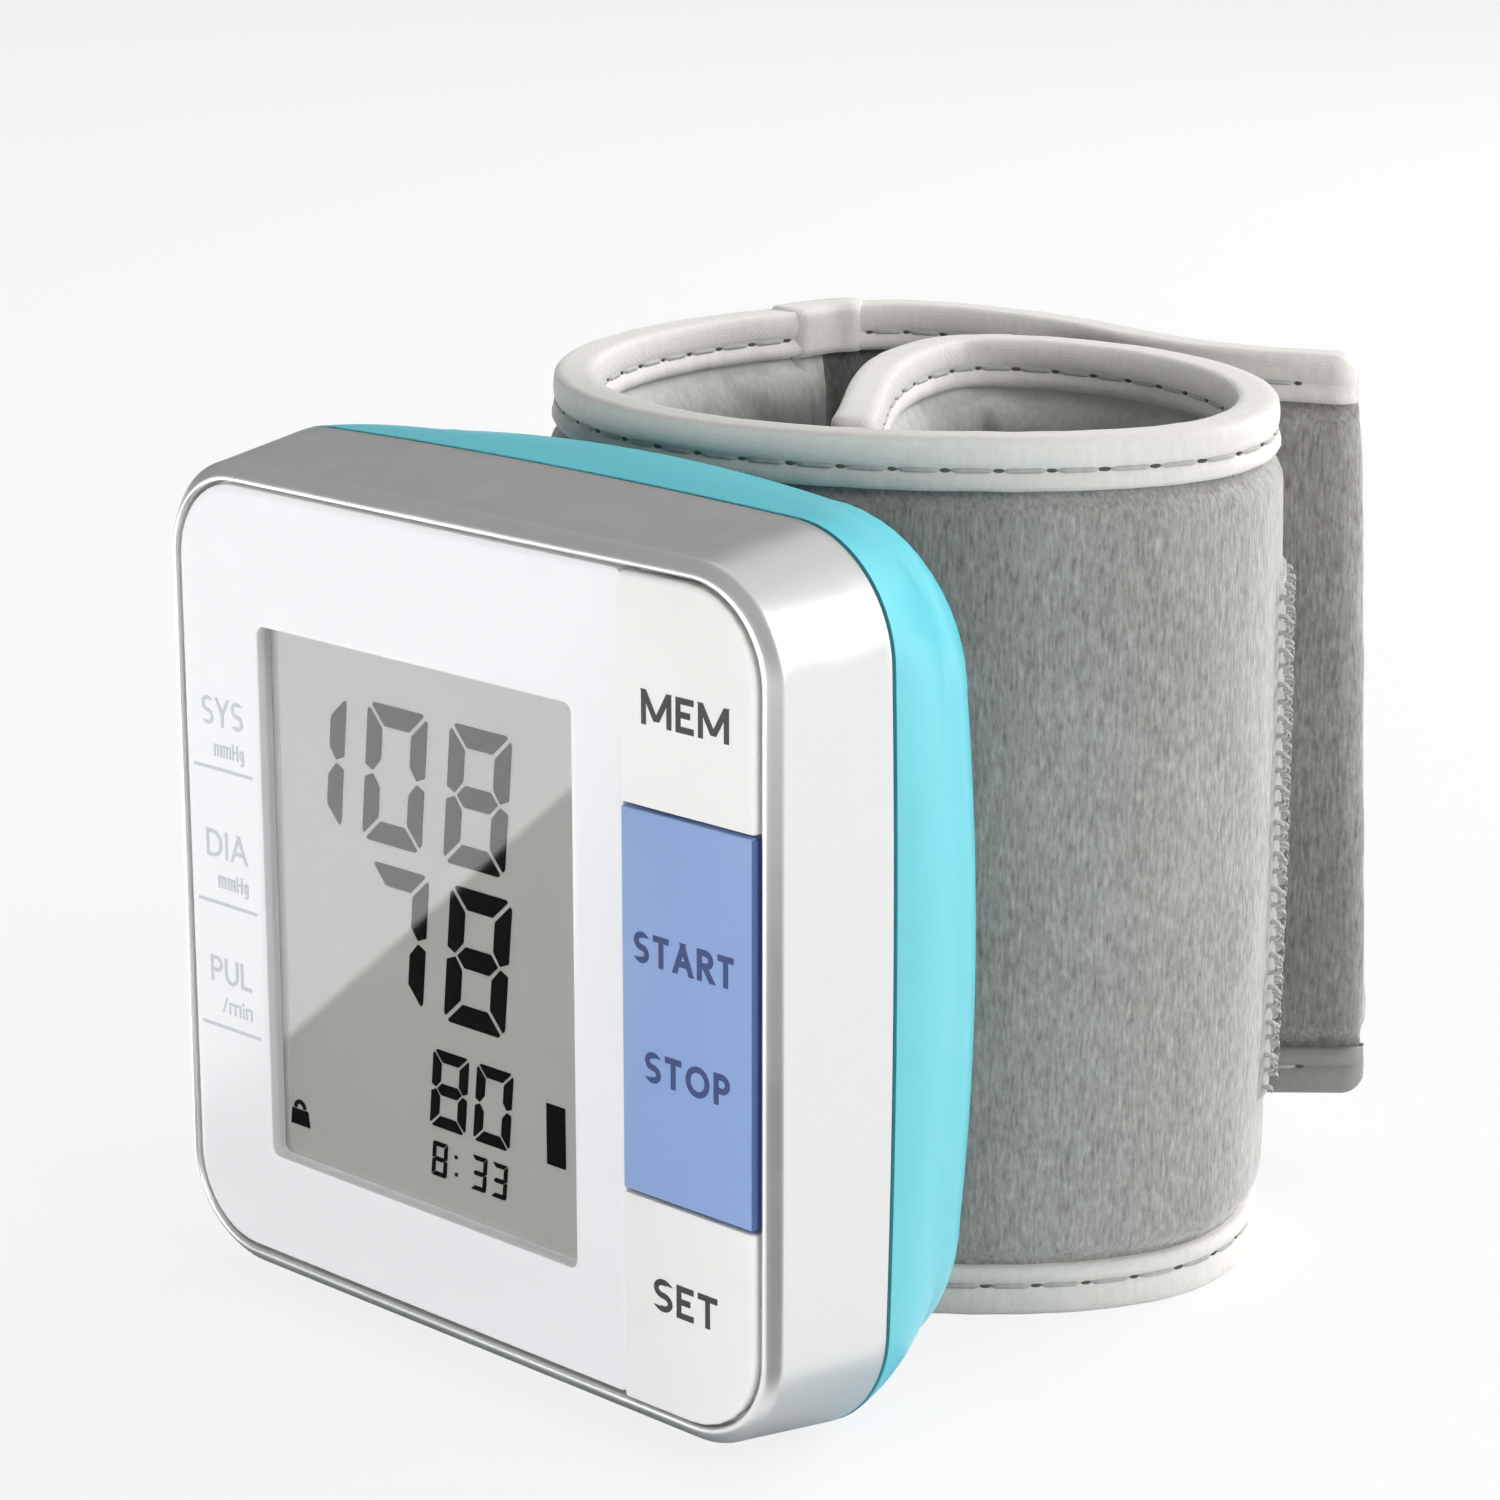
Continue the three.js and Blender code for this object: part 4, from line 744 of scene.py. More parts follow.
def glyphs():
    """Plain capitals and the letters of the units: width, then strokes in a unit square."""
    stem = [(0, 0), (0, 1)]
    far_stem = [(1, 0), (1, 1)]
    middle = [(0.5, 0), (0.5, 1)]
    low_stem = [(0, 0), (0, 0.7)]
    return {
        "A": (0.8, [[(0, 0), (0.5, 1)], [(1, 0), (0.5, 1)], [(0.22, 0.3), (0.78, 0.3)]]),
        "D": (0.78, [stem, [(0, 1), *arc(0.4, 0.5, 0.6, 0.5, 90, -90), (0, 0)]]),
        "E": (0.56, [stem, [(0, 1), (1, 1)], [(0, 0.52), (0.92, 0.52)], [(0, 0), (1, 0)]]),
        "H": (0.7, [stem, far_stem, [(0, 0.5), (1, 0.5)]]),
        "I": (0.18, [middle]),
        "L": (0.55, [stem, [(0, 0), (1, 0)]]),
        "M": (0.95, [stem, far_stem, [(0.04, 1), (0.5, 0.06)], [(0.96, 1), (0.5, 0.06)]]),
        "O": (0.92, [arc(0.5, 0.5, 0.5, 0.5, 0, 360, 28)]),
        "P": (0.62, [stem, [(0, 1), *arc(0.5, 0.72, 0.5, 0.28, 90, -90), (0, 0.44)]]),
        "R": (0.66, [stem, [(0, 1), *arc(0.5, 0.74, 0.5, 0.26, 90, -90), (0, 0.48)], [(0.42, 0.48), (1, 0)]]),
        "S": (0.62, [arc(0.5, 0.75, 0.5, 0.25, 40, 270) + arc(0.5, 0.25, 0.5, 0.25, 90, -140)[1:]]),
        "T": (0.64, [middle, [(0, 1), (1, 1)]]),
        "U": (0.72, [[(0, 1), *arc(0.5, 0.42, 0.5, 0.42, 180, 360), (1, 1)]]),
        "Y": (0.72, [[(0, 1), (0.5, 0.42)], [(1, 1), (0.5, 0.42)], [(0.5, 0), (0.5, 0.46)]]),
        "g": (0.5, [arc(0.5, 0.4, 0.5, 0.3, 0, 360, 20), [(1, 0.7), *arc(0.5, -0.1, 0.5, 0.2, 0, -140)]]),
        "i": (0.14, [[(0.5, 0), (0.5, 0.7)], [(0.5, 0.86), (0.5, 1)]]),
        "m": (0.9, [low_stem, [(0.5, 0), (0.5, 0.7)], [(1, 0), (1, 0.7)], [(0, 0.7), (1, 0.7)]]),
        "n": (0.5, [low_stem, [(1, 0), (1, 0.7)], [(0, 0.7), (1, 0.7)]]),
        "/": (0.4, [[(0, 0), (1, 1)]]),
    }


GLYPHS = glyphs()


def ribbon(points, weight, box):
    """Outline of a stroke: its ends reach the box's edges, slanted ends are cut level."""
    p = np.array(points, float)
    t = np.gradient(p, axis=0)
    t /= np.hypot(*t.T)[:, None]
    n = np.stack([-t[:, 1], t[:, 0]], 1) * weight / 2
    sides = [p + n, p - n]
    for end, way in ((0, -1), (-1, 1)):
        d = t[end] * way
        axis = int(abs(d[1]) > 0.5)
        place = p[end][axis]
        edge = place + math.copysign(weight / 2, d[axis])
        goal = edge if min(abs(edge - side) for side in box[axis]) < weight / 10 else place
        for side in sides:
            side[end] += d * (goal - side[end][axis]) / d[axis]
    return np.concatenate([sides[0], sides[1][::-1]])


def word(text, x0, x1, z0, z1, face, weight):
    """A word of plain strokes fitted into a box on a face at depth face."""
    widths = [GLYPHS[letter][0] for letter in text]
    space = weight * 0.9
    scale = (x1 - x0 - space * (len(text) - 1)) / sum(widths)
    solids = []
    x = x0
    for letter, width in zip(text, widths):
        right = x + width * scale
        box = ((x, right), (z0, z1))
        inner = [(low + weight / 2, high - weight / 2) for low, high in box]
        for k, stroke in enumerate(GLYPHS[letter][1]):
            points = [tuple(a + u * (b - a) for u, (a, b) in zip(point, inner)) for point in stroke]
            solids.append(prism(ribbon(points, weight, box), face - 0.03 - 0.004 * k, face + 0.02))
        x = right + space
    return solids


def rule(x0, x1, z, face, width=0.28):
    return block(x0, x1, face - 0.03, face + 0.02, z - width / 2, z + width / 2)


def lettering():
    plate = []
    for text, unit, top, low, line in (
        ("SYS", "mmHg", 14.7, 12.2, 8.5),
        ("DIA", "mmHg", 3.1, 0.7, -3.3),
        ("PUL", "/min", -8.1, -10.4, -14.3),
    ):
        plate += word(text, -31.0, -25.7, low, top, 0, 0.34)
        plate += word(unit, -29.6, -25.7, low - 2.6, low - 1.2, 0, 0.2)
        plate.append(rule(-32.3, -24.7, line, 0))
    obj = merged("plate_words", plate)
    dress(obj, PLATE_INK, CASE, "white_gloss")
    for name, body, ink, slot, words in (
        ("mem_word", "mem_key", KEY_INK, "key_white", [("MEM", 21.65, 30.7, 21.8, 24.5)]),
        ("set_word", "set_key", KEY_INK, "key_white", [("SET", 22.6, 29.4, -24.7, -22.0)]),
        ("start_stop_words", "start_stop_key", BLUE_INK, "key_blue",
         [("START", 20.7, 31.15, 3.05, 5.55), ("STOP", 21.8, 30.75, -6.3, -3.8)]),
    ):
        obj = merged(name, [solid for spec in words for solid in word(*spec, KEY_FACE, 0.5)])
        dress(obj, ink, body, slot)


# Cuff: the plan curve of the CAD source, walked with the outer face on the right hand


def bezier(start, leave, stop, arrive, full, steps=80):
    start, stop = np.array(start, float), np.array(stop, float)
    leave, arrive = (np.array(v, float) / np.hypot(*v) for v in (leave, arrive))
    span = np.abs(stop - start)
    a = start + leave * full * (np.abs(leave) @ span)
    b = stop - arrive * full * (np.abs(arrive) @ span)
    t = np.linspace(0, 1, steps + 1)[:, None]
    return (1 - t) ** 3 * start + 3 * t * (1 - t) ** 2 * a + 3 * t * t * (1 - t) * b + t ** 3 * stop


RIGHT, LEFT, BACK, FRONT = (1, 0), (-1, 0), (0, 1), (0, -1)
FRONT_WALL = BACK_Y + 0.4 + OUTER_OUT + CROWN
CUFF_END = (CREASE[0] - 0.2, CREASE[1] - (TAIL_NOSE + GAP + 0.4))
LEFT_MOST, TOUCH, RIGHT_MOST = (-35.2, 63), (-3, FRONT_WALL), (30.8, 56)
RING_BACK, RING_LEFT, TIP = (4, 79.5), (-11.5, 72), (9.2, 36.2)
CUFF_PATH = np.concatenate([
    bezier(CUFF_END, FRONT, LEFT_MOST, FRONT, 0.4),
    bezier(LEFT_MOST, FRONT, TOUCH, RIGHT, 0.55)[1:],
    bezier(TOUCH, RIGHT, RIGHT_MOST, BACK, 0.45)[1:],
    bezier(RIGHT_MOST, BACK, RING_BACK, LEFT, 0.5)[1:],
    bezier(RING_BACK, LEFT, RING_LEFT, FRONT, 0.55)[1:],
    bezier(RING_LEFT, FRONT, TIP, (0.55, -0.83), 0.35)[1:],
])
PATCH_OUT = OUTER_OUT + CROWN + GAP + 1.2
TAIL_BACK, TAIL_END = (-14, 88.6), (19.9, 90.8)
TAIL_NEAR = (RING_BACK[0], RING_BACK[1] + PATCH_OUT + GAP + TAIL_MID + 0.2)
TAIL_PATH = np.concatenate([
    bezier(CREASE, (0.35, 0.94), TAIL_BACK, RIGHT, 0.5),
    bezier(TAIL_BACK, RIGHT, TAIL_NEAR, RIGHT, 0.45)[1:],
    bezier(TAIL_NEAR, RIGHT, TAIL_END, (0.9, 0.44), 0.4)[1:],
])


class Line:
    """A plan curve by length: place and outward normal at any distance along it.

    Its end reaches further by lean from the top of the cuff to its bottom.
    """

    def __init__(self, path, lean=0.0):
        self.lean = lean
        steps = np.hypot(*np.diff(path, axis=0).T)
        self.far = np.concatenate([[0], np.cumsum(steps)])
        self.length = self.far[-1]
        self.path = path

    def place(self, d):
        """Places and outward normals at distances; past its ends the line goes straight on."""
        d = np.atleast_1d(np.asarray(d, float))
        inside = np.clip(d, 0, self.length)
        p, ahead, behind = (
            np.stack([np.interp(near, self.far, axis) for axis in self.path.T], 1)
            for near in (np.clip(inside + step, 0, self.length) for step in (0, 0.4, -0.4))
        )
        t = ahead - behind
        t /= np.hypot(*t.T)[:, None]
        p += t * (d - inside)[:, None]
        return p, np.stack([t[:, 1], -t[:, 0]], 1)

    def points(self, d, across, height):
        """Points at distances d, offset across the line and lifted to a height."""
        p, n = self.place(d)
        z = np.broadcast_to(height, (len(p),))
        share = np.clip(np.asarray(d) / self.length, 0, 1)
        shift = self.lean * share * (0.5 - z / (2 * CUFF_HALF))
        ahead = np.stack([-n[:, 1], n[:, 0]], 1)
        xy = p + n * np.broadcast_to(across, (len(p),))[:, None] + ahead * shift[:, None]
        return np.concatenate([xy, z[:, None] + CUFF_LIFT], 1)


CUFF, TAIL_LINE = Line(CUFF_PATH), Line(TAIL_PATH, TAIL_LEAN)
TAIL_STOP = TAIL_LINE.length + TAIL_ROUND


def swept_ring(line, d, profile):
    """A profile (across, height) set up at a distance along a line."""
    across, height = np.array(profile).T
    return line.points(np.full(len(across), d), across, height)


def capped(rings):
    """Points and faces of a swept closed profile whose second half runs back beside its first."""
    count = len(rings[0])
    last = count * (len(rings) - 1)
    faces = quads(len(rings), count)
    for i in range(count // 2 - 1):
        cap = (i, i + 1, count - 2 - i, count - 1 - i)
        faces += [cap, tuple(last + v for v in cap)]
    return np.concatenate(rings), faces


def smooth(t):
    t = np.clip(t, 0, 1)
    return t * t * (3 - 2 * t)


def half_round(d, length, radius):
    """Thickness share near the ends of a padded strip."""
    e = np.clip(np.minimum(d, length - d) / radius, 0, 1)
    return math.sqrt(max(0.0, 1 - (1 - e) ** 2))


EDGE_ROWS = np.array([0, 1.6, 2.9, 3.7, 4.15, 4.7, 5.4])
SEWN_ROWS = 4


def pad_heights(top, low, rows=27):
    """Heights of a pad's rows from its top sewn edge to its lower one."""
    first = EDGE_ROWS[-1] + 1.6
    middle = np.linspace(top - first, low + first, rows)
    return np.concatenate([top - EDGE_ROWS, middle, low + EDGE_ROWS[::-1]])


def swell(z, top, low, reach=PINCH):
    """1 in the padded middle, 0 from the binding outward."""
    near = np.minimum(top - z, z - low) - BIND_H - GAP
    return smooth(near / reach)


def cuff_profile(d):
    z = pad_heights(CUFF_HALF, -CUFF_HALF)
    full = swell(z, CUFF_HALF, -CUFF_HALF)
    crown = CROWN * (1 - np.clip(np.abs(z) / OPEN, 0, 1) ** 2)
    ends = max(0.35, half_round(d, CUFF.length, 1.6))
    outer = (EDGE_OUT + (OUTER_OUT - EDGE_OUT) * full) * ends + crown * ends
    inner = -(EDGE_IN + (LINING_IN - EDGE_IN) * full) * ends
    return np.concatenate([np.stack([outer, z], 1), np.stack([inner, z], 1)[::-1]])


def tail_low(d):
    return -CUFF_HALF + TAIL_TAPER * np.clip(d / TAIL_LINE.length, 0, 1)


def tail_profile(d):
    top, low = CUFF_HALF, tail_low(d)
    z = pad_heights(top, low)
    full = swell(z, top, low)
    begin = smooth(d / (0.12 * TAIL_LINE.length))
    middle = TAIL_NOSE + (TAIL_MID * 1.05 - TAIL_NOSE) * begin
    share = max(0.12, half_round(d + 1.5, TAIL_STOP + 1.5, 2.1))
    half = (TAIL_EDGE + (middle - TAIL_EDGE) * full) * share
    return np.concatenate([np.stack([half, z], 1), np.stack([-half, z], 1)[::-1]])


def tail_pull(d, z):
    """How far the tail's end draws back towards its bindings, and more so inside them."""
    near = swell(z, CUFF_HALF + 2.0, tail_low(d) - 2.0, 5.0)
    sewn = 1 - smooth(np.minimum(CUFF_HALF - z, z - tail_low(d)) / BIND_H)
    return (0.9 * (1 - near) + 1.6 * sewn) * smooth((d - TAIL_STOP + 6) / 6)


# The simulation runs on an enlarged copy, because cloth settings are meant for larger things
SIM_SCALE, SIM_FRAMES = 10.0, 20
CLOTH = {
    "quality": 6, "mass": 0.25, "tension_stiffness": 12, "compression_stiffness": 12,
    "shear_stiffness": 4, "bending_stiffness": 0.4, "vertex_group_mass": "pin",
    "use_pressure": True, "uniform_pressure_force": 3.0, "shrink_min": -0.025,
}
NAP_SIZE = np.array([0.0014, 0.0014, 0.0035])


def inflate(obj, pinned, limit):
    """Cloth under inner pressure, held at its sewn edges; no point goes past its limit."""
    rest = np.array([v.co for v in obj.data.vertices])
    obj.data.transform(Matrix.Diagonal((SIM_SCALE, SIM_SCALE, SIM_SCALE, 1)))
    group = obj.vertex_groups.new(name="pin")
    group.add([int(i) for i in np.flatnonzero(pinned)], 1.0, "REPLACE")
    cloth = obj.modifiers.new("cloth", "CLOTH")
    for setting, value in CLOTH.items():
        setattr(cloth.settings, setting, value)
    cloth.settings.effector_weights.gravity = 0
    cloth.collision_settings.use_collision = False
    cloth.collision_settings.use_self_collision = False
    scene = bpy.context.scene
    for number in range(1, SIM_FRAMES + 1):
        scene.frame_set(number)
    applied(obj)
    scene.frame_set(1)
    moved = np.array([v.co for v in obj.data.vertices]) / SIM_SCALE - rest
    size = np.linalg.norm(moved, axis=1)
    share = np.minimum(1, limit * MM / np.maximum(size, 1e-9))
    obj.data.vertices.foreach_set("co", (rest + moved * share[:, None]).astype(np.float32).ravel())
    obj.data.update()
    obj.vertex_groups.clear()


def nap(obj, amount):
    """Uneven nap of the fabric, pushed along the normals, amount in millimetres."""
    mesh = obj.data
    normals = np.array([v.normal for v in mesh.vertices])
    points = np.array([v.co for v in mesh.vertices])
    tufts = [Vector(p / NAP_SIZE) for p in points]
    lift = [noise.noise(q) + 0.5 * noise.noise(q * 0.31) for q in tufts]
    moved = points + normals * (amount * MM * np.array(lift))[:, None]
    mesh.vertices.foreach_set("co", moved.astype(np.float32).ravel())
    mesh.update()


def sewn_pad(name, line, distances, profile_at, pull, free, limits, inner, depth):
    """Padded strip along a line, filled by the simulation between its sewn edges.

    It is free to move between two distances, up to a limit on each of its faces. The face
    with the index that inner gives has its own material, and depth is that of its nap.
    """
    rings = []
    for d in distances:
        across, z = np.array(profile_at(d)).T
        rings.append(line.points(d - pull(d, z), across, z))
    obj = mesh_object(name, *capped(rings))
    columns = len(rings[0])
    rows = columns // 2
    along = np.repeat(distances, columns)
    column = np.tile(np.arange(columns), len(distances))
    row = np.where(column < rows, column, columns - 1 - column)
    sewn = (row < SEWN_ROWS) | (row >= rows - SEWN_ROWS)
    inflate(obj, sewn | (along < free[0]) | (along > free[1]), np.where(column < rows, *limits))
    face, inner_looks = inner
    caps = (len(distances) - 1) * columns
    painted(obj, [VELOUR, inner_looks], lambda p: p.index < caps and p.index % columns // rows == face)
    modifier = obj.modifiers.new("fine", "SUBSURF")
    modifier.levels = modifier.render_levels = 1
    nap(applied(obj), depth)
    return obj


def cuff_pad():
    ends = np.array([0, 0.5, 1.2])
    middle = np.linspace(2, CUFF.length - 2, 170)
    distances = np.concatenate([ends, middle, CUFF.length - ends[::-1]])
    still = lambda d, z: 0 * z
    free = (2.5, CUFF.length - 2.5)
    strip = ("cuff_pad", CUFF, distances, cuff_profile, still, free)
    obj = sewn_pad(*strip, limits=(0.2, 0.8), inner=(1, LINING), depth=0.09)
    return dress(obj, VELOUR, CASE, "grey_velour", 80, ["cuff_outer_fabric", "cuff_lining"])


def tail_pad():
    start = [-1.5, -1.3, -0.9, -0.3]
    stop = TAIL_STOP - np.array([1.7, 1.2, 0.75, 0.38, 0.14, 0.0])
    distances = np.concatenate([start, np.linspace(0.6, TAIL_STOP - 2.3, 44), stop])
    strip = ("tail_pad", TAIL_LINE, distances, tail_profile, tail_pull, (3, math.inf))
    obj = sewn_pad(*strip, limits=(0.15, 0.7), inner=(0, SHADED_VELOUR), depth=0.1)
    return dress(obj, VELOUR, TAIL, "grey_velour", 80, ["tail_strap"])


# Binding: folded tape over a sewn edge, pressed in along the stitches, with a rolled lip

STITCH_AT, END_ROUND, RING_STEP = 2.65, 1.8, 0.62
# Height of the tape's outside in the stitched groove, as a share of its thickness
GROOVE = 0.52
THREAD_R, THREAD_END = 0.24, 0.35
HOLE_LONG, HOLE_DEEP, HOLE_HIGH = 0.46, 0.16, 0.22


def binding_profile(edge, sign, inner, outer, pull, share, tall):
    """Closed profile (across, height) of the tape; pull is 1 at a stitch hole.

    share and tall draw its thickness and height in, down to its lower lip.
    """
    top = GAP + BIND_T
    wall = [
        (0.04, 0.5), (0.3, 0.84), (0.8, 1.0), (1.4, 1.06), (1.9, 1.0), (STITCH_AT - 0.4, 0.86),
        (STITCH_AT, GROOVE - 0.14 * pull), (STITCH_AT + 0.35, 0.92), (STITCH_AT + 0.75, 1.3 - 0.14 * pull),
        (STITCH_AT + 1.25, 1.3 - 0.1 * pull), (STITCH_AT + 1.62, 0.85), (STITCH_AT + 1.72, 0.35),
    ]

    def half(base, side):
        """From the crown down one face and up again inside it to the roof."""
        levels = [(0.55 * base, top + 0.03)]
        levels += [(base + BIND_T * t, top - d) for d, t in wall]
        levels += [(base - GAP - 0.2, top - STITCH_AT - 1.66), (base, top - STITCH_AT), (base, GAP + 0.1)]
        levels.append((0.3 * base, GAP * 1.2))
        return [(side * n, edge + sign * z) for n, z in levels]

    ring = half(outer + GAP, 1) + half(inner + GAP, -1)[::-1]
    foot = edge + sign * (top - wall[-1][0])
    return [(n * share, foot + (z - foot) * tall) for n, z in ring]


def binding(name, line, start, stop, edge_at, sign, inner, outer, body, nodes, round_start, front):
    """Folded tape along a line; front is the material of its first half of columns."""
    end = stop - np.array([1.4, 1.0, 0.7, 0.45, 0.25, 0.1, 0.0])
    count = int((stop - start) / RING_STEP)
    rings = []
    for d in np.concatenate([np.linspace(start, stop - END_ROUND, count), end]):
        pull = max(0.0, math.cos(2 * math.pi * ((d / STITCH) % 1.0))) ** 3
        begin = half_round(d - start, 1e3, round_start)
        fall = half_round(stop - d, 1e3, END_ROUND)
        share = max(0.2, min(begin, fall))
        wave = 0.06 * noise.noise(Vector((d * 0.35, edge_at(d), 3.0)))
        edge = edge_at(d) + wave
        profile = binding_profile(edge, sign, inner, outer, pull, share, 0.6 + 0.4 * fall)
        rings.append(swept_ring(line, d, profile))
    obj = mesh_object(name, *capped(rings))
    columns = len(rings[0])
    caps = (len(rings) - 1) * columns
    painted(obj, [BINDING, front], lambda p: p.index < caps and p.index % columns < columns // 2)
    return dress(obj, BINDING, body, "pale_binding", 60, nodes)


def round_ring(line, d, across, z, radii, around=8):
    """Ring of points about a place on a line; the radii are along it, across it and up."""
    a = np.arange(around) * 2 * math.pi / around
    along, out, up = radii
    return line.points(d + along * np.cos(a), across + out * np.cos(a), z + up * np.sin(a))


def stitches(name, line, start, stop, edge_at, sign, inner, outer, body):
    """Running stitch in the groove on both faces, with a dark lump at each stitch end: painted shade for the
    stitch hole.
    """
    threads, hole_shades = [], []
    first = math.ceil((start + 1) / STITCH)
    last = math.floor((stop - 2.4) / STITCH)
    depth = sign * (GAP + BIND_T - STITCH_AT)
    for side, base in ((1, outer + GAP), (-1, inner + GAP)):
        surface = base + BIND_T * GROOVE
        for k in range(first, last + 1):
            hole = k * STITCH
            z = edge_at(hole) + depth
            uneven = 1 + 0.6 * noise.noise(Vector((k * 1.7, side * 2.3, edge_at(hole))))
            size = (HOLE_LONG * uneven, HOLE_DEEP, HOLE_HIGH)
            hole_shades.append(pebble(line, hole, side * (surface - 0.02), z, *size))
            if k < last:
                ends = (hole + THREAD_END, hole + STITCH - THREAD_END)
                threads.append(thread(line, ends, side, surface, edge_at, depth))
    dress(merged(name + "_threads", threads), THREAD, body, "pale_binding", 80)
    dress(merged(name + "_hole_shades", hole_shades), HOLE_SHADE, body, "pale_binding", 80)


def pebble(line, d, across, z, half_long, half_thick, half_high):
    """Small flattened lump on a line."""
    rings = []
    for t in np.linspace(-0.96, 0.96, 5):
        r = math.sqrt(1 - t * t)
        rings.append(round_ring(line, d + t * half_long, across, z, (0, half_thick * r, half_high * r)))
    return loft(rings)


def thread(line, ends, side, surface, edge_at, depth):
    """One stitch: a short thread that dives in at both ends."""
    rings = []
    for t in np.linspace(0, 1, 7):
        d = ends[0] + t * (ends[1] - ends[0])
        arch = math.sin(math.pi * t)
        r = THREAD_R * (0.55 + 0.45 * min(1.0, 3 * arch))
        across = side * (surface - 0.12 + 0.16 * min(1.0, 2.2 * arch))
        rings.append(round_ring(line, d, across, edge_at(d) + depth, (0, side * r, r)))
    return loft(rings)


def bindings():
    top = lambda d: CUFF_HALF
    low = lambda d: -CUFF_HALF
    cuff_edge, tail_edge = (EDGE_IN, EDGE_OUT), (TAIL_EDGE, TAIL_EDGE)
    for name, node, stop, edge_at, sign in (
        ("cuff_tape_top", "binding_top", CUFF.length, top, 1),
        ("cuff_tape_bottom", "binding_bottom", CUFF.length, low, -1),
        ("tail_tape_top", "tail_binding_top", TAIL_STOP - 0.8, top, 1),
        ("tail_tape_bottom", "tail_binding_bottom", TAIL_STOP - 0.3, tail_low, -1),
    ):
        on_tail = name.startswith("tail")
        line, edge, body = (TAIL_LINE, tail_edge, TAIL) if on_tail else (CUFF, cuff_edge, CASE)
        start, round_start = (-1.8, 1.8) if on_tail else (0, 0.8)
        # The front of the tail's lower tape gets the darker copy: painted shade.
        front = SHADED_BINDING if edge_at == tail_low else BINDING
        binding(name, line, start, stop, edge_at, sign, *edge, body, [node], round_start, front)
        stitches(name, line, max(start, 1.0), stop, edge_at, sign, *edge, body)


# Hook tape on the outside of the wound end, under the tail

HOOK_PITCH, HOOK_JITTER = 1.5, 0.22
PATCH_START, PATCH_STOP = 0.568 * CUFF.length, 0.71 * CUFF.length


def hook_tape():
    """Backing with rows of hooks, which ends on the right arm's back."""
    start, stop = PATCH_START, PATCH_STOP
    face = lambda z: OUTER_OUT + CROWN + GAP - CROWN * min(1.0, abs(z) / OPEN) ** 2
    thick = lambda d: 0.45 * smooth((d - start + 0.3) / 1.6)
    heights = np.linspace(PATCH_HALF, -PATCH_HALF, 40)
    rings = []
    for d in np.linspace(start, stop, 48):
        outside = [(face(z) - 0.2 + thick(d), z) for z in heights]
        inside = [(face(z) - 0.28, z) for z in heights[::-1]]
        rings.append(swept_ring(CUFF, d, outside + inside))
    backing = capped(rings)
    solids = [backing]
    for i in range(int((stop - start - 1) / HOOK_PITCH)):
        for k in range(int((2 * PATCH_HALF - 1) / HOOK_PITCH)):
            jitter = HOOK_JITTER * noise.noise(Vector((i * 3.7, k * 2.9, 1.0)))
            d = start + 0.9 + i * HOOK_PITCH + jitter
            z = -PATCH_HALF + 0.9 + (k + 0.5 * (i % 2)) * HOOK_PITCH + jitter
            solids.append(hook(d, z, face(z) - 0.25 + thick(d), 1 if (i + k) % 2 else -1))
    obj = merged("hook_tape", solids)
    painted(obj, [VELOUR, HOOKS], lambda polygon: polygon.index >= len(backing[1]))
    return dress(obj, HOOKS, CASE, "hook_tape", 50, ["hook_patch"])


def hook(d, z, base, turn):
    """A moulded hook: a stem that bends over to one side."""
    spine = [(0, 0, 0.26), (0.4, 0.02, 0.23), (0.7, 0.12, 0.21), (0.84, 0.3, 0.19), (0.72, 0.5, 0.12)]
    return loft([round_ring(CUFF, d, base + up, z + turn * over, (r, 0, r), 6) for up, over, r in spine])


# Fabric round the seam where the tail strap is sewn on

SEAM_REACH = [3.6, 3.3, 2.9, 2.3, 1.6, 0.9, 0.2]
SEAM_COVER = np.full(17, 0.22)
SEAM_COVER[:3] = SEAM_COVER[:-4:-1] = -0.5, -0.15, 0.1
# The columns over the gap at the crease, and how far they may sink into it
DIP, SEAM_DIP = slice(6, 11), 0.35
# The outside is found from this far out, the inside from a point in the loop
SEAM_OUT, SEAM_EYE = 6.0, CREASE + np.array([8.0, -4.5])


def seam_columns():
    """Places and outward normals of the columns, from the cuff round the crease to the tail."""
    cuff = [CUFF.place(d) for d in SEAM_REACH]
    tail = [TAIL_LINE.place(d) for d in SEAM_REACH[::-1]]
    columns = [(p[0], n[0]) for p, n in cuff] + [(p[0], -n[0]) for p, n in tail]
    half = len(cuff)
    (p, n), (q, m) = columns[half - 1: half + 1]
    columns[half:half] = [(p + (q - p) * t, n + (m - n) * t) for t in (0.25, 0.5, 0.75)]
    places, normals = np.array(columns).transpose(1, 0, 2)
    return places, normals / np.hypot(*normals.T)[:, None]


def first_hit(trees, start, way, reach, z):
    """How far it is to the fabric or tape along a level line, in millimetres."""
    origin = Vector(at([*start, z + CUFF_LIFT]))
    hits = [tree.ray_cast(origin, Vector((*way, 0)), reach * MM)[3] for tree in trees]
    return min([reach] + [hit / MM for hit in hits if hit is not None])


def seam_trees():
    """Search trees of what the sleeve is laid on."""
    tapes = [f"{piece}_tape_{edge}" for piece in ("cuff", "tail") for edge in ("top", "bottom")]
    for name in ["cuff_pad", "tail_pad"] + tapes:
        mesh = bpy.data.objects[name].data
        faces = [polygon.vertices for polygon in mesh.polygons]
        yield BVHTree.FromPolygons([v.co for v in mesh.vertices], faces)


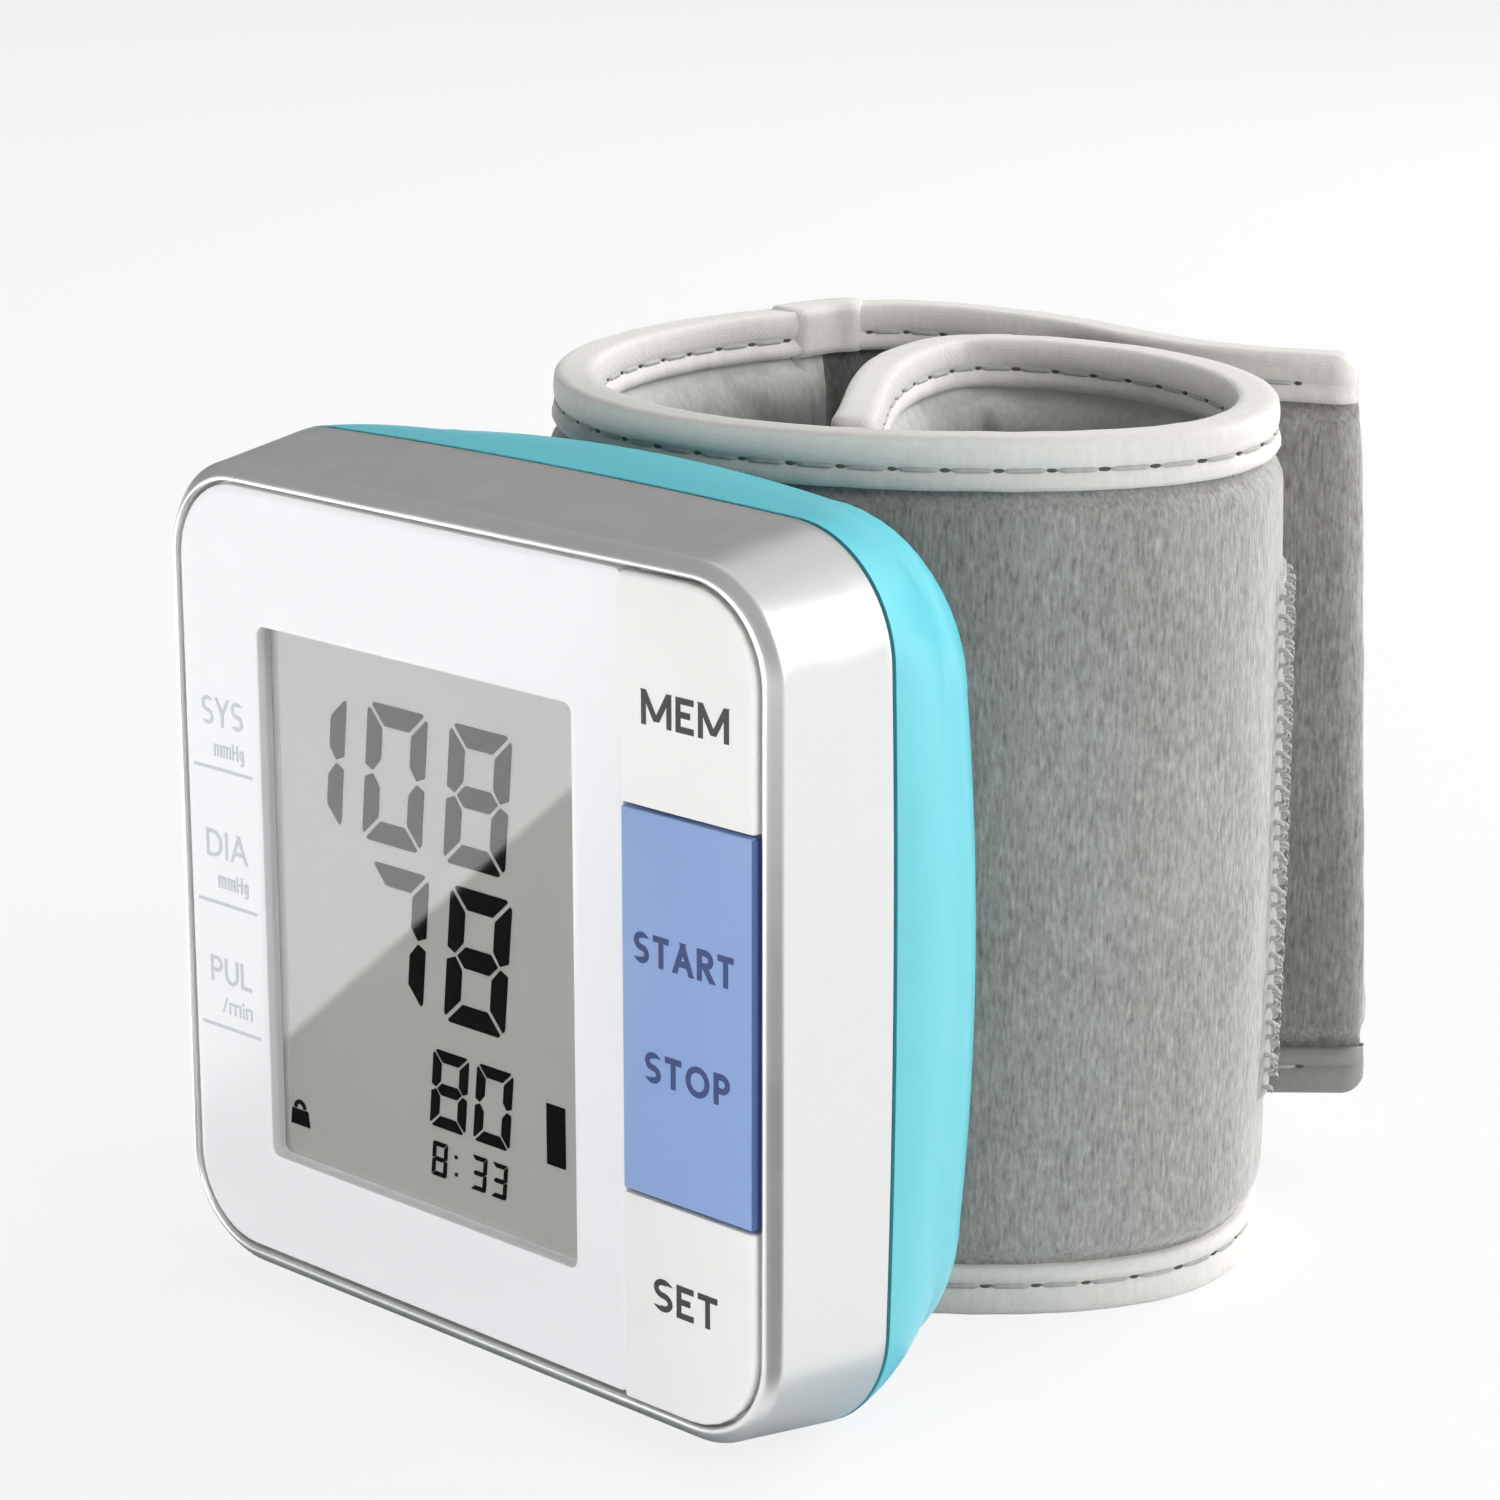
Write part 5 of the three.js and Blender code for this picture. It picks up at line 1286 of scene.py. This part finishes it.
def evened(found, tapes, padded):
    """Distances to the fabric without its bumps: bridged at the crease, alike over each tape's height."""
    # Over the gap at the crease it dips only a little
    count = DIP.stop - DIP.start
    across = np.arange(1, count + 1) / (count + 1)
    bridge = found[:, DIP.start - 1, None] * (1 - across) + found[:, DIP.stop, None] * across
    found[:, DIP] = np.minimum(found[:, DIP], bridge + SEAM_DIP)
    columns = found.shape[1]
    for rows in tapes:
        wide = np.pad(found[rows].min(0), 4, mode="edge")
        least = [wide[i: i + 5].min() for i in range(columns + 4)]
        found[rows] = [np.mean(least[i: i + 5]) for i in range(columns)]
    wide = np.pad(found[padded], ((2, 2), (0, 0)), mode="edge")
    found[padded] = sum(wide[i: i + padded.stop - padded.start] for i in range(5)) / 5
    return found


def seam_sleeve():
    """Closed sleeve laid over pads and tapes on both sides of the crease."""
    trees = list(seam_trees())
    top = CUFF_HALF + GAP + BIND_T
    rim = top + np.array([0.18, 0.15, 0.05, -0.15, -0.4])
    tape = np.concatenate([rim, np.linspace(top - 0.8, BIND_LOW + 0.06, 6)])
    middle = np.linspace(BIND_LOW - 0.1, 0.1 - BIND_LOW, 70)
    heights = np.concatenate([tape, middle, -tape[::-1]])
    levels = np.clip(heights, 0.8 - top, top - 0.8)
    padded = slice(len(tape), len(tape) + len(middle))
    tapes = slice(0, padded.start), slice(padded.stop, None)
    fall = 0.55 * smooth((np.abs(heights) - top + 0.4) / 0.7)
    places, normals = seam_columns()
    sides = []
    for starts in (places + SEAM_OUT * normals, SEAM_EYE + 0 * places):
        reach = np.linalg.norm(places - starts, axis=1)
        ways = (places - starts) / reach[:, None]
        rays = list(zip(starts, ways, reach))
        found = np.array([[first_hit(trees, *ray, z) for ray in rays] for z in levels])
        lift = SEAM_COVER - fall[:, None]
        sides.append(starts + ways * (evened(found, tapes, padded) - lift)[:, :, None])
    rings = []
    for outer, inner, z in zip(*sides, heights + CUFF_LIFT):
        loop = np.concatenate([outer, inner[::-1]])
        rings.append(np.column_stack([loop, np.full(len(loop), z)]))
    obj = mesh_object("seam_sleeve", *capped(rings))
    count, half = 2 * len(places), len(places) // 2
    looks_at = [1] * len(places) + [2] * half + [3] * (count - len(places) - half)
    fabric = range(padded.start * count, (padded.stop - 1) * count)
    looks = [BINDING, VELOUR, SHADED_VELOUR, LINING]
    painted(obj, looks, lambda p: looks_at[p.index % count] if p.index in fabric else 0)
    obj.data.shade_smooth()
    start = at([*CUFF.place(1.2)[0][0], 0])
    stop = at([*TAIL_LINE.place(1.2)[0][0], 0])
    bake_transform(obj)


# Build


def finish_nodes():
    """Materials of the CAD nodes that stay."""
    looks = {
        WHITE_PLASTIC: "lcd_holder pressure_sensor air_manifold cuff_former",
        BLACK_RUBBER: "contact_strip cuff_bladder",
        BOARD: "circuit_board",
        CAN: "tact_switch_mem tact_switch_start tact_switch_set pump_motor",
        BLACK_PLASTIC: "tact_plunger_mem tact_plunger_start tact_plunger_set "
                       "control_chip buzzer pump_head valve_body",
        TUBE: "tube_pump tube_valve tube_sensor",
        STEEL: "battery_spring_1 battery_spring_2 contact_bridge contact_minus contact_plus "
               "pump_shaft valve_plunger cuff_screw_1 cuff_screw_2",
        DISPLAY: "lcd_glass",
        PANE: "lcd_window",
    }
    for material, nodes in looks.items():
        for node in nodes.split():
            mesh = frame["nodes"][node].data
            mesh.materials.clear()
            mesh.materials.append(material)


bezel()
front_plate()
rear_shell()
battery_cover()
for node, looks, slot, side in (
    ("mem_button", KEY_WHITE, "key_white", None),
    ("start_stop_button", KEY_BLUE, "key_blue", KEY_BLUE_SHADED_SIDE),
    ("set_button", KEY_WHITE, "key_white", None),
):
    refined(node, node + "_cap", looks, slot, 0.22, side)
for k in (1, 2, 3, 4):
    refined(f"case_screw_{k}", f"steel_screw_{k}", STEEL, "steel", 0.06)
for k in (1, 2):
    refined(f"battery_{k}", f"wrapped_cell_{k}", CELL, "cell_wrap")
finish_nodes()
display_figures()
lettering()
cuff_pad()
tail_pad()
bindings()
hook_tape()
seam_sleeve()


# Stage, light and camera

FLOOR_HALF, FLAG_Z = 4.0, -36.6


def stage_card(name, corners, material):
    """Flat four-cornered stage piece, its corners in metres."""
    mesh = bpy.data.meshes.new(name)
    mesh.from_pydata(corners, [], [(0, 1, 2, 3)])
    mesh.materials.append(material)
    obj = linked(name, mesh)
    return obj


def floor():
    """Pale floor that looks white but keeps the object's shadow."""
    looks = Looks("floor", 0.6)
    looks.vary([0.86, 0.86, 0.87], 0.004, looks.noise(60, 3))
    looks.bump(looks.noise(2, 2), 0.01)
    glow = looks.node("Emission", {"Color": (0.97, 0.97, 0.98, 1)}).outputs["Emission"]
    path = looks.node("LightPath").outputs
    seen = looks.blend("MAXIMUM", path["Is Camera Ray"], path["Is Glossy Ray"])
    seen = looks.blend("MAXIMUM", seen, path["Is Transmission Ray"])
    share = looks.blend("MULTIPLY", seen, 0.86)
    mix_surface(looks.tree, share, looks.shader.outputs["BSDF"], glow, "Material Output")
    corners = [(-1, -1), (1, -1), (1, 1), (-1, 1)]
    stage_card("floor", [(x * FLOOR_HALF, y * FLOOR_HALF, 0) for x, y in corners], looks.material)


def lamp(name, place, target, size, power):
    data = bpy.data.lights.new(name, "AREA")
    data.shape = "RECTANGLE"
    data.size, data.size_y = size
    data.energy = power
    obj = linked(name, data)
    obj.location = place
    obj.rotation_euler = (Vector(target) - Vector(place)).to_track_quat("-Z", "Y").to_euler()
    return obj


def sky():
    """Soft light from all round; the camera sees only a white like the floor's."""
    world = bpy.data.worlds.new("studio")
    world.use_nodes = True
    tree = world.node_tree
    place = add_node(tree, "TexCoord", {}).outputs["Generated"]
    height = add_node(tree, "SeparateXYZ", {"Vector": place}).outputs["Z"]
    greys = [(0.0, (0.38, 0.38, 0.39)), (0.7, (0.6, 0.6, 0.6))]
    grey = set_ramp(add_node(tree, "ValToRGB", {"Fac": height}), greys)
    path = add_node(tree, "LightPath", {}).outputs
    level = add_node(tree, "MapRange", {"Value": path["Is Glossy Ray"], "To Min": 0.32, "To Max": 0.6})
    light = tree.nodes["Background"]
    tree.links.new(level.outputs["Result"], light.inputs["Strength"])
    tree.links.new(grey, light.inputs["Color"])
    white = add_node(tree, "Background", {"Color": (0.84, 0.84, 0.85, 1)}).outputs["Background"]
    mix_surface(tree, path["Is Camera Ray"], light.outputs["Background"], white, "World Output")
    bpy.context.scene.world = world


def studio():
    sky()
    middle = (0, 0, 0.04)
    lamp("front", (-0.15, -0.75, 0.1), middle, (0.5, 0.12), 2.8)
    lamp("top", (0.1, 0.3, 1.2), middle, (1.6, 1.6), 2.9)
    lamp("right", (0.85, 0.06, 0.5), middle, (0.6, 0.6), 5.5)
    lamp("back", (0.15, 0.95, 0.6), middle, (0.8, 0.6), 13.5).visible_glossy = False
    # Its edge crosses the window
    card("card_left", at([-71.9, -39.3, -36.0]), at([-121.1, -128.7, -36.0]), (0.5, 0.24), 0.46)
    # It whitens the case's top right corner
    sheen = lamp("card_back", (0.42, 0.62, 0.3), middle, (0.62, 0.6), 1.2)
    sheen.visible_diffuse = sheen.visible_camera = False
    flag("flag_right", [(38, -6), (110, -10), (240, -110), (70, -200)], (0.15, 0.15, 0.15))
    flag("flag_window", [(10, -12), (-56.9, -12), (-132.8, -150), (-105, -150)], (0.03, 0.03, 0.03))
    # The last flag is a painted shadow: it stands for the floor's shade under the case, seen only in
    # reflections.
    flag("flag_under_shadow", [(-45, -2), (45, -2), (45, 26), (-45, 26)], (0.5, 0.53, 0.56))


def card(name, near, far, size, power):
    """Bright card, seen only as a reflection, that lies beside the line from near to far."""
    along = Vector(far - near).normalized()
    across = Vector((along.y, -along.x, 0))
    obj = lamp(name, (0, 0, 0), (0, 0, -1), size, power)
    obj.location = Vector((near + far) / 2) + across * size[1] / 2
    obj.rotation_euler = Matrix((along, across, along.cross(across))).transposed().to_euler()
    obj.visible_diffuse = obj.visible_camera = False


def flag(name, corners, colour):
    """Dark card on the floor, seen only as a reflection in what faces that way."""
    looks = Looks(name, 0.9)
    looks.vary(colour, 0.05, looks.noise(40, 2))
    obj = stage_card(name, at([(x, y, FLAG_Z) for x, y in corners]).tolist(), looks.material)
    obj.visible_camera = obj.visible_diffuse = obj.visible_shadow = False


def camera():
    """The photograph's camera, fitted to the case's edges."""
    data = bpy.data.cameras.new("camera")
    data.sensor_width = 36.0
    data.lens = 98.47
    data.clip_start = 0.01
    obj = linked("camera", data)
    obj.location = at([231.0, -208.4, 99.5])
    obj.rotation_euler = (math.radians(90 - 15.135), 0, math.radians(43.644))
    bpy.context.scene.camera = obj


floor()
studio()
camera()
bpy.context.scene.view_settings.view_transform = "Standard"
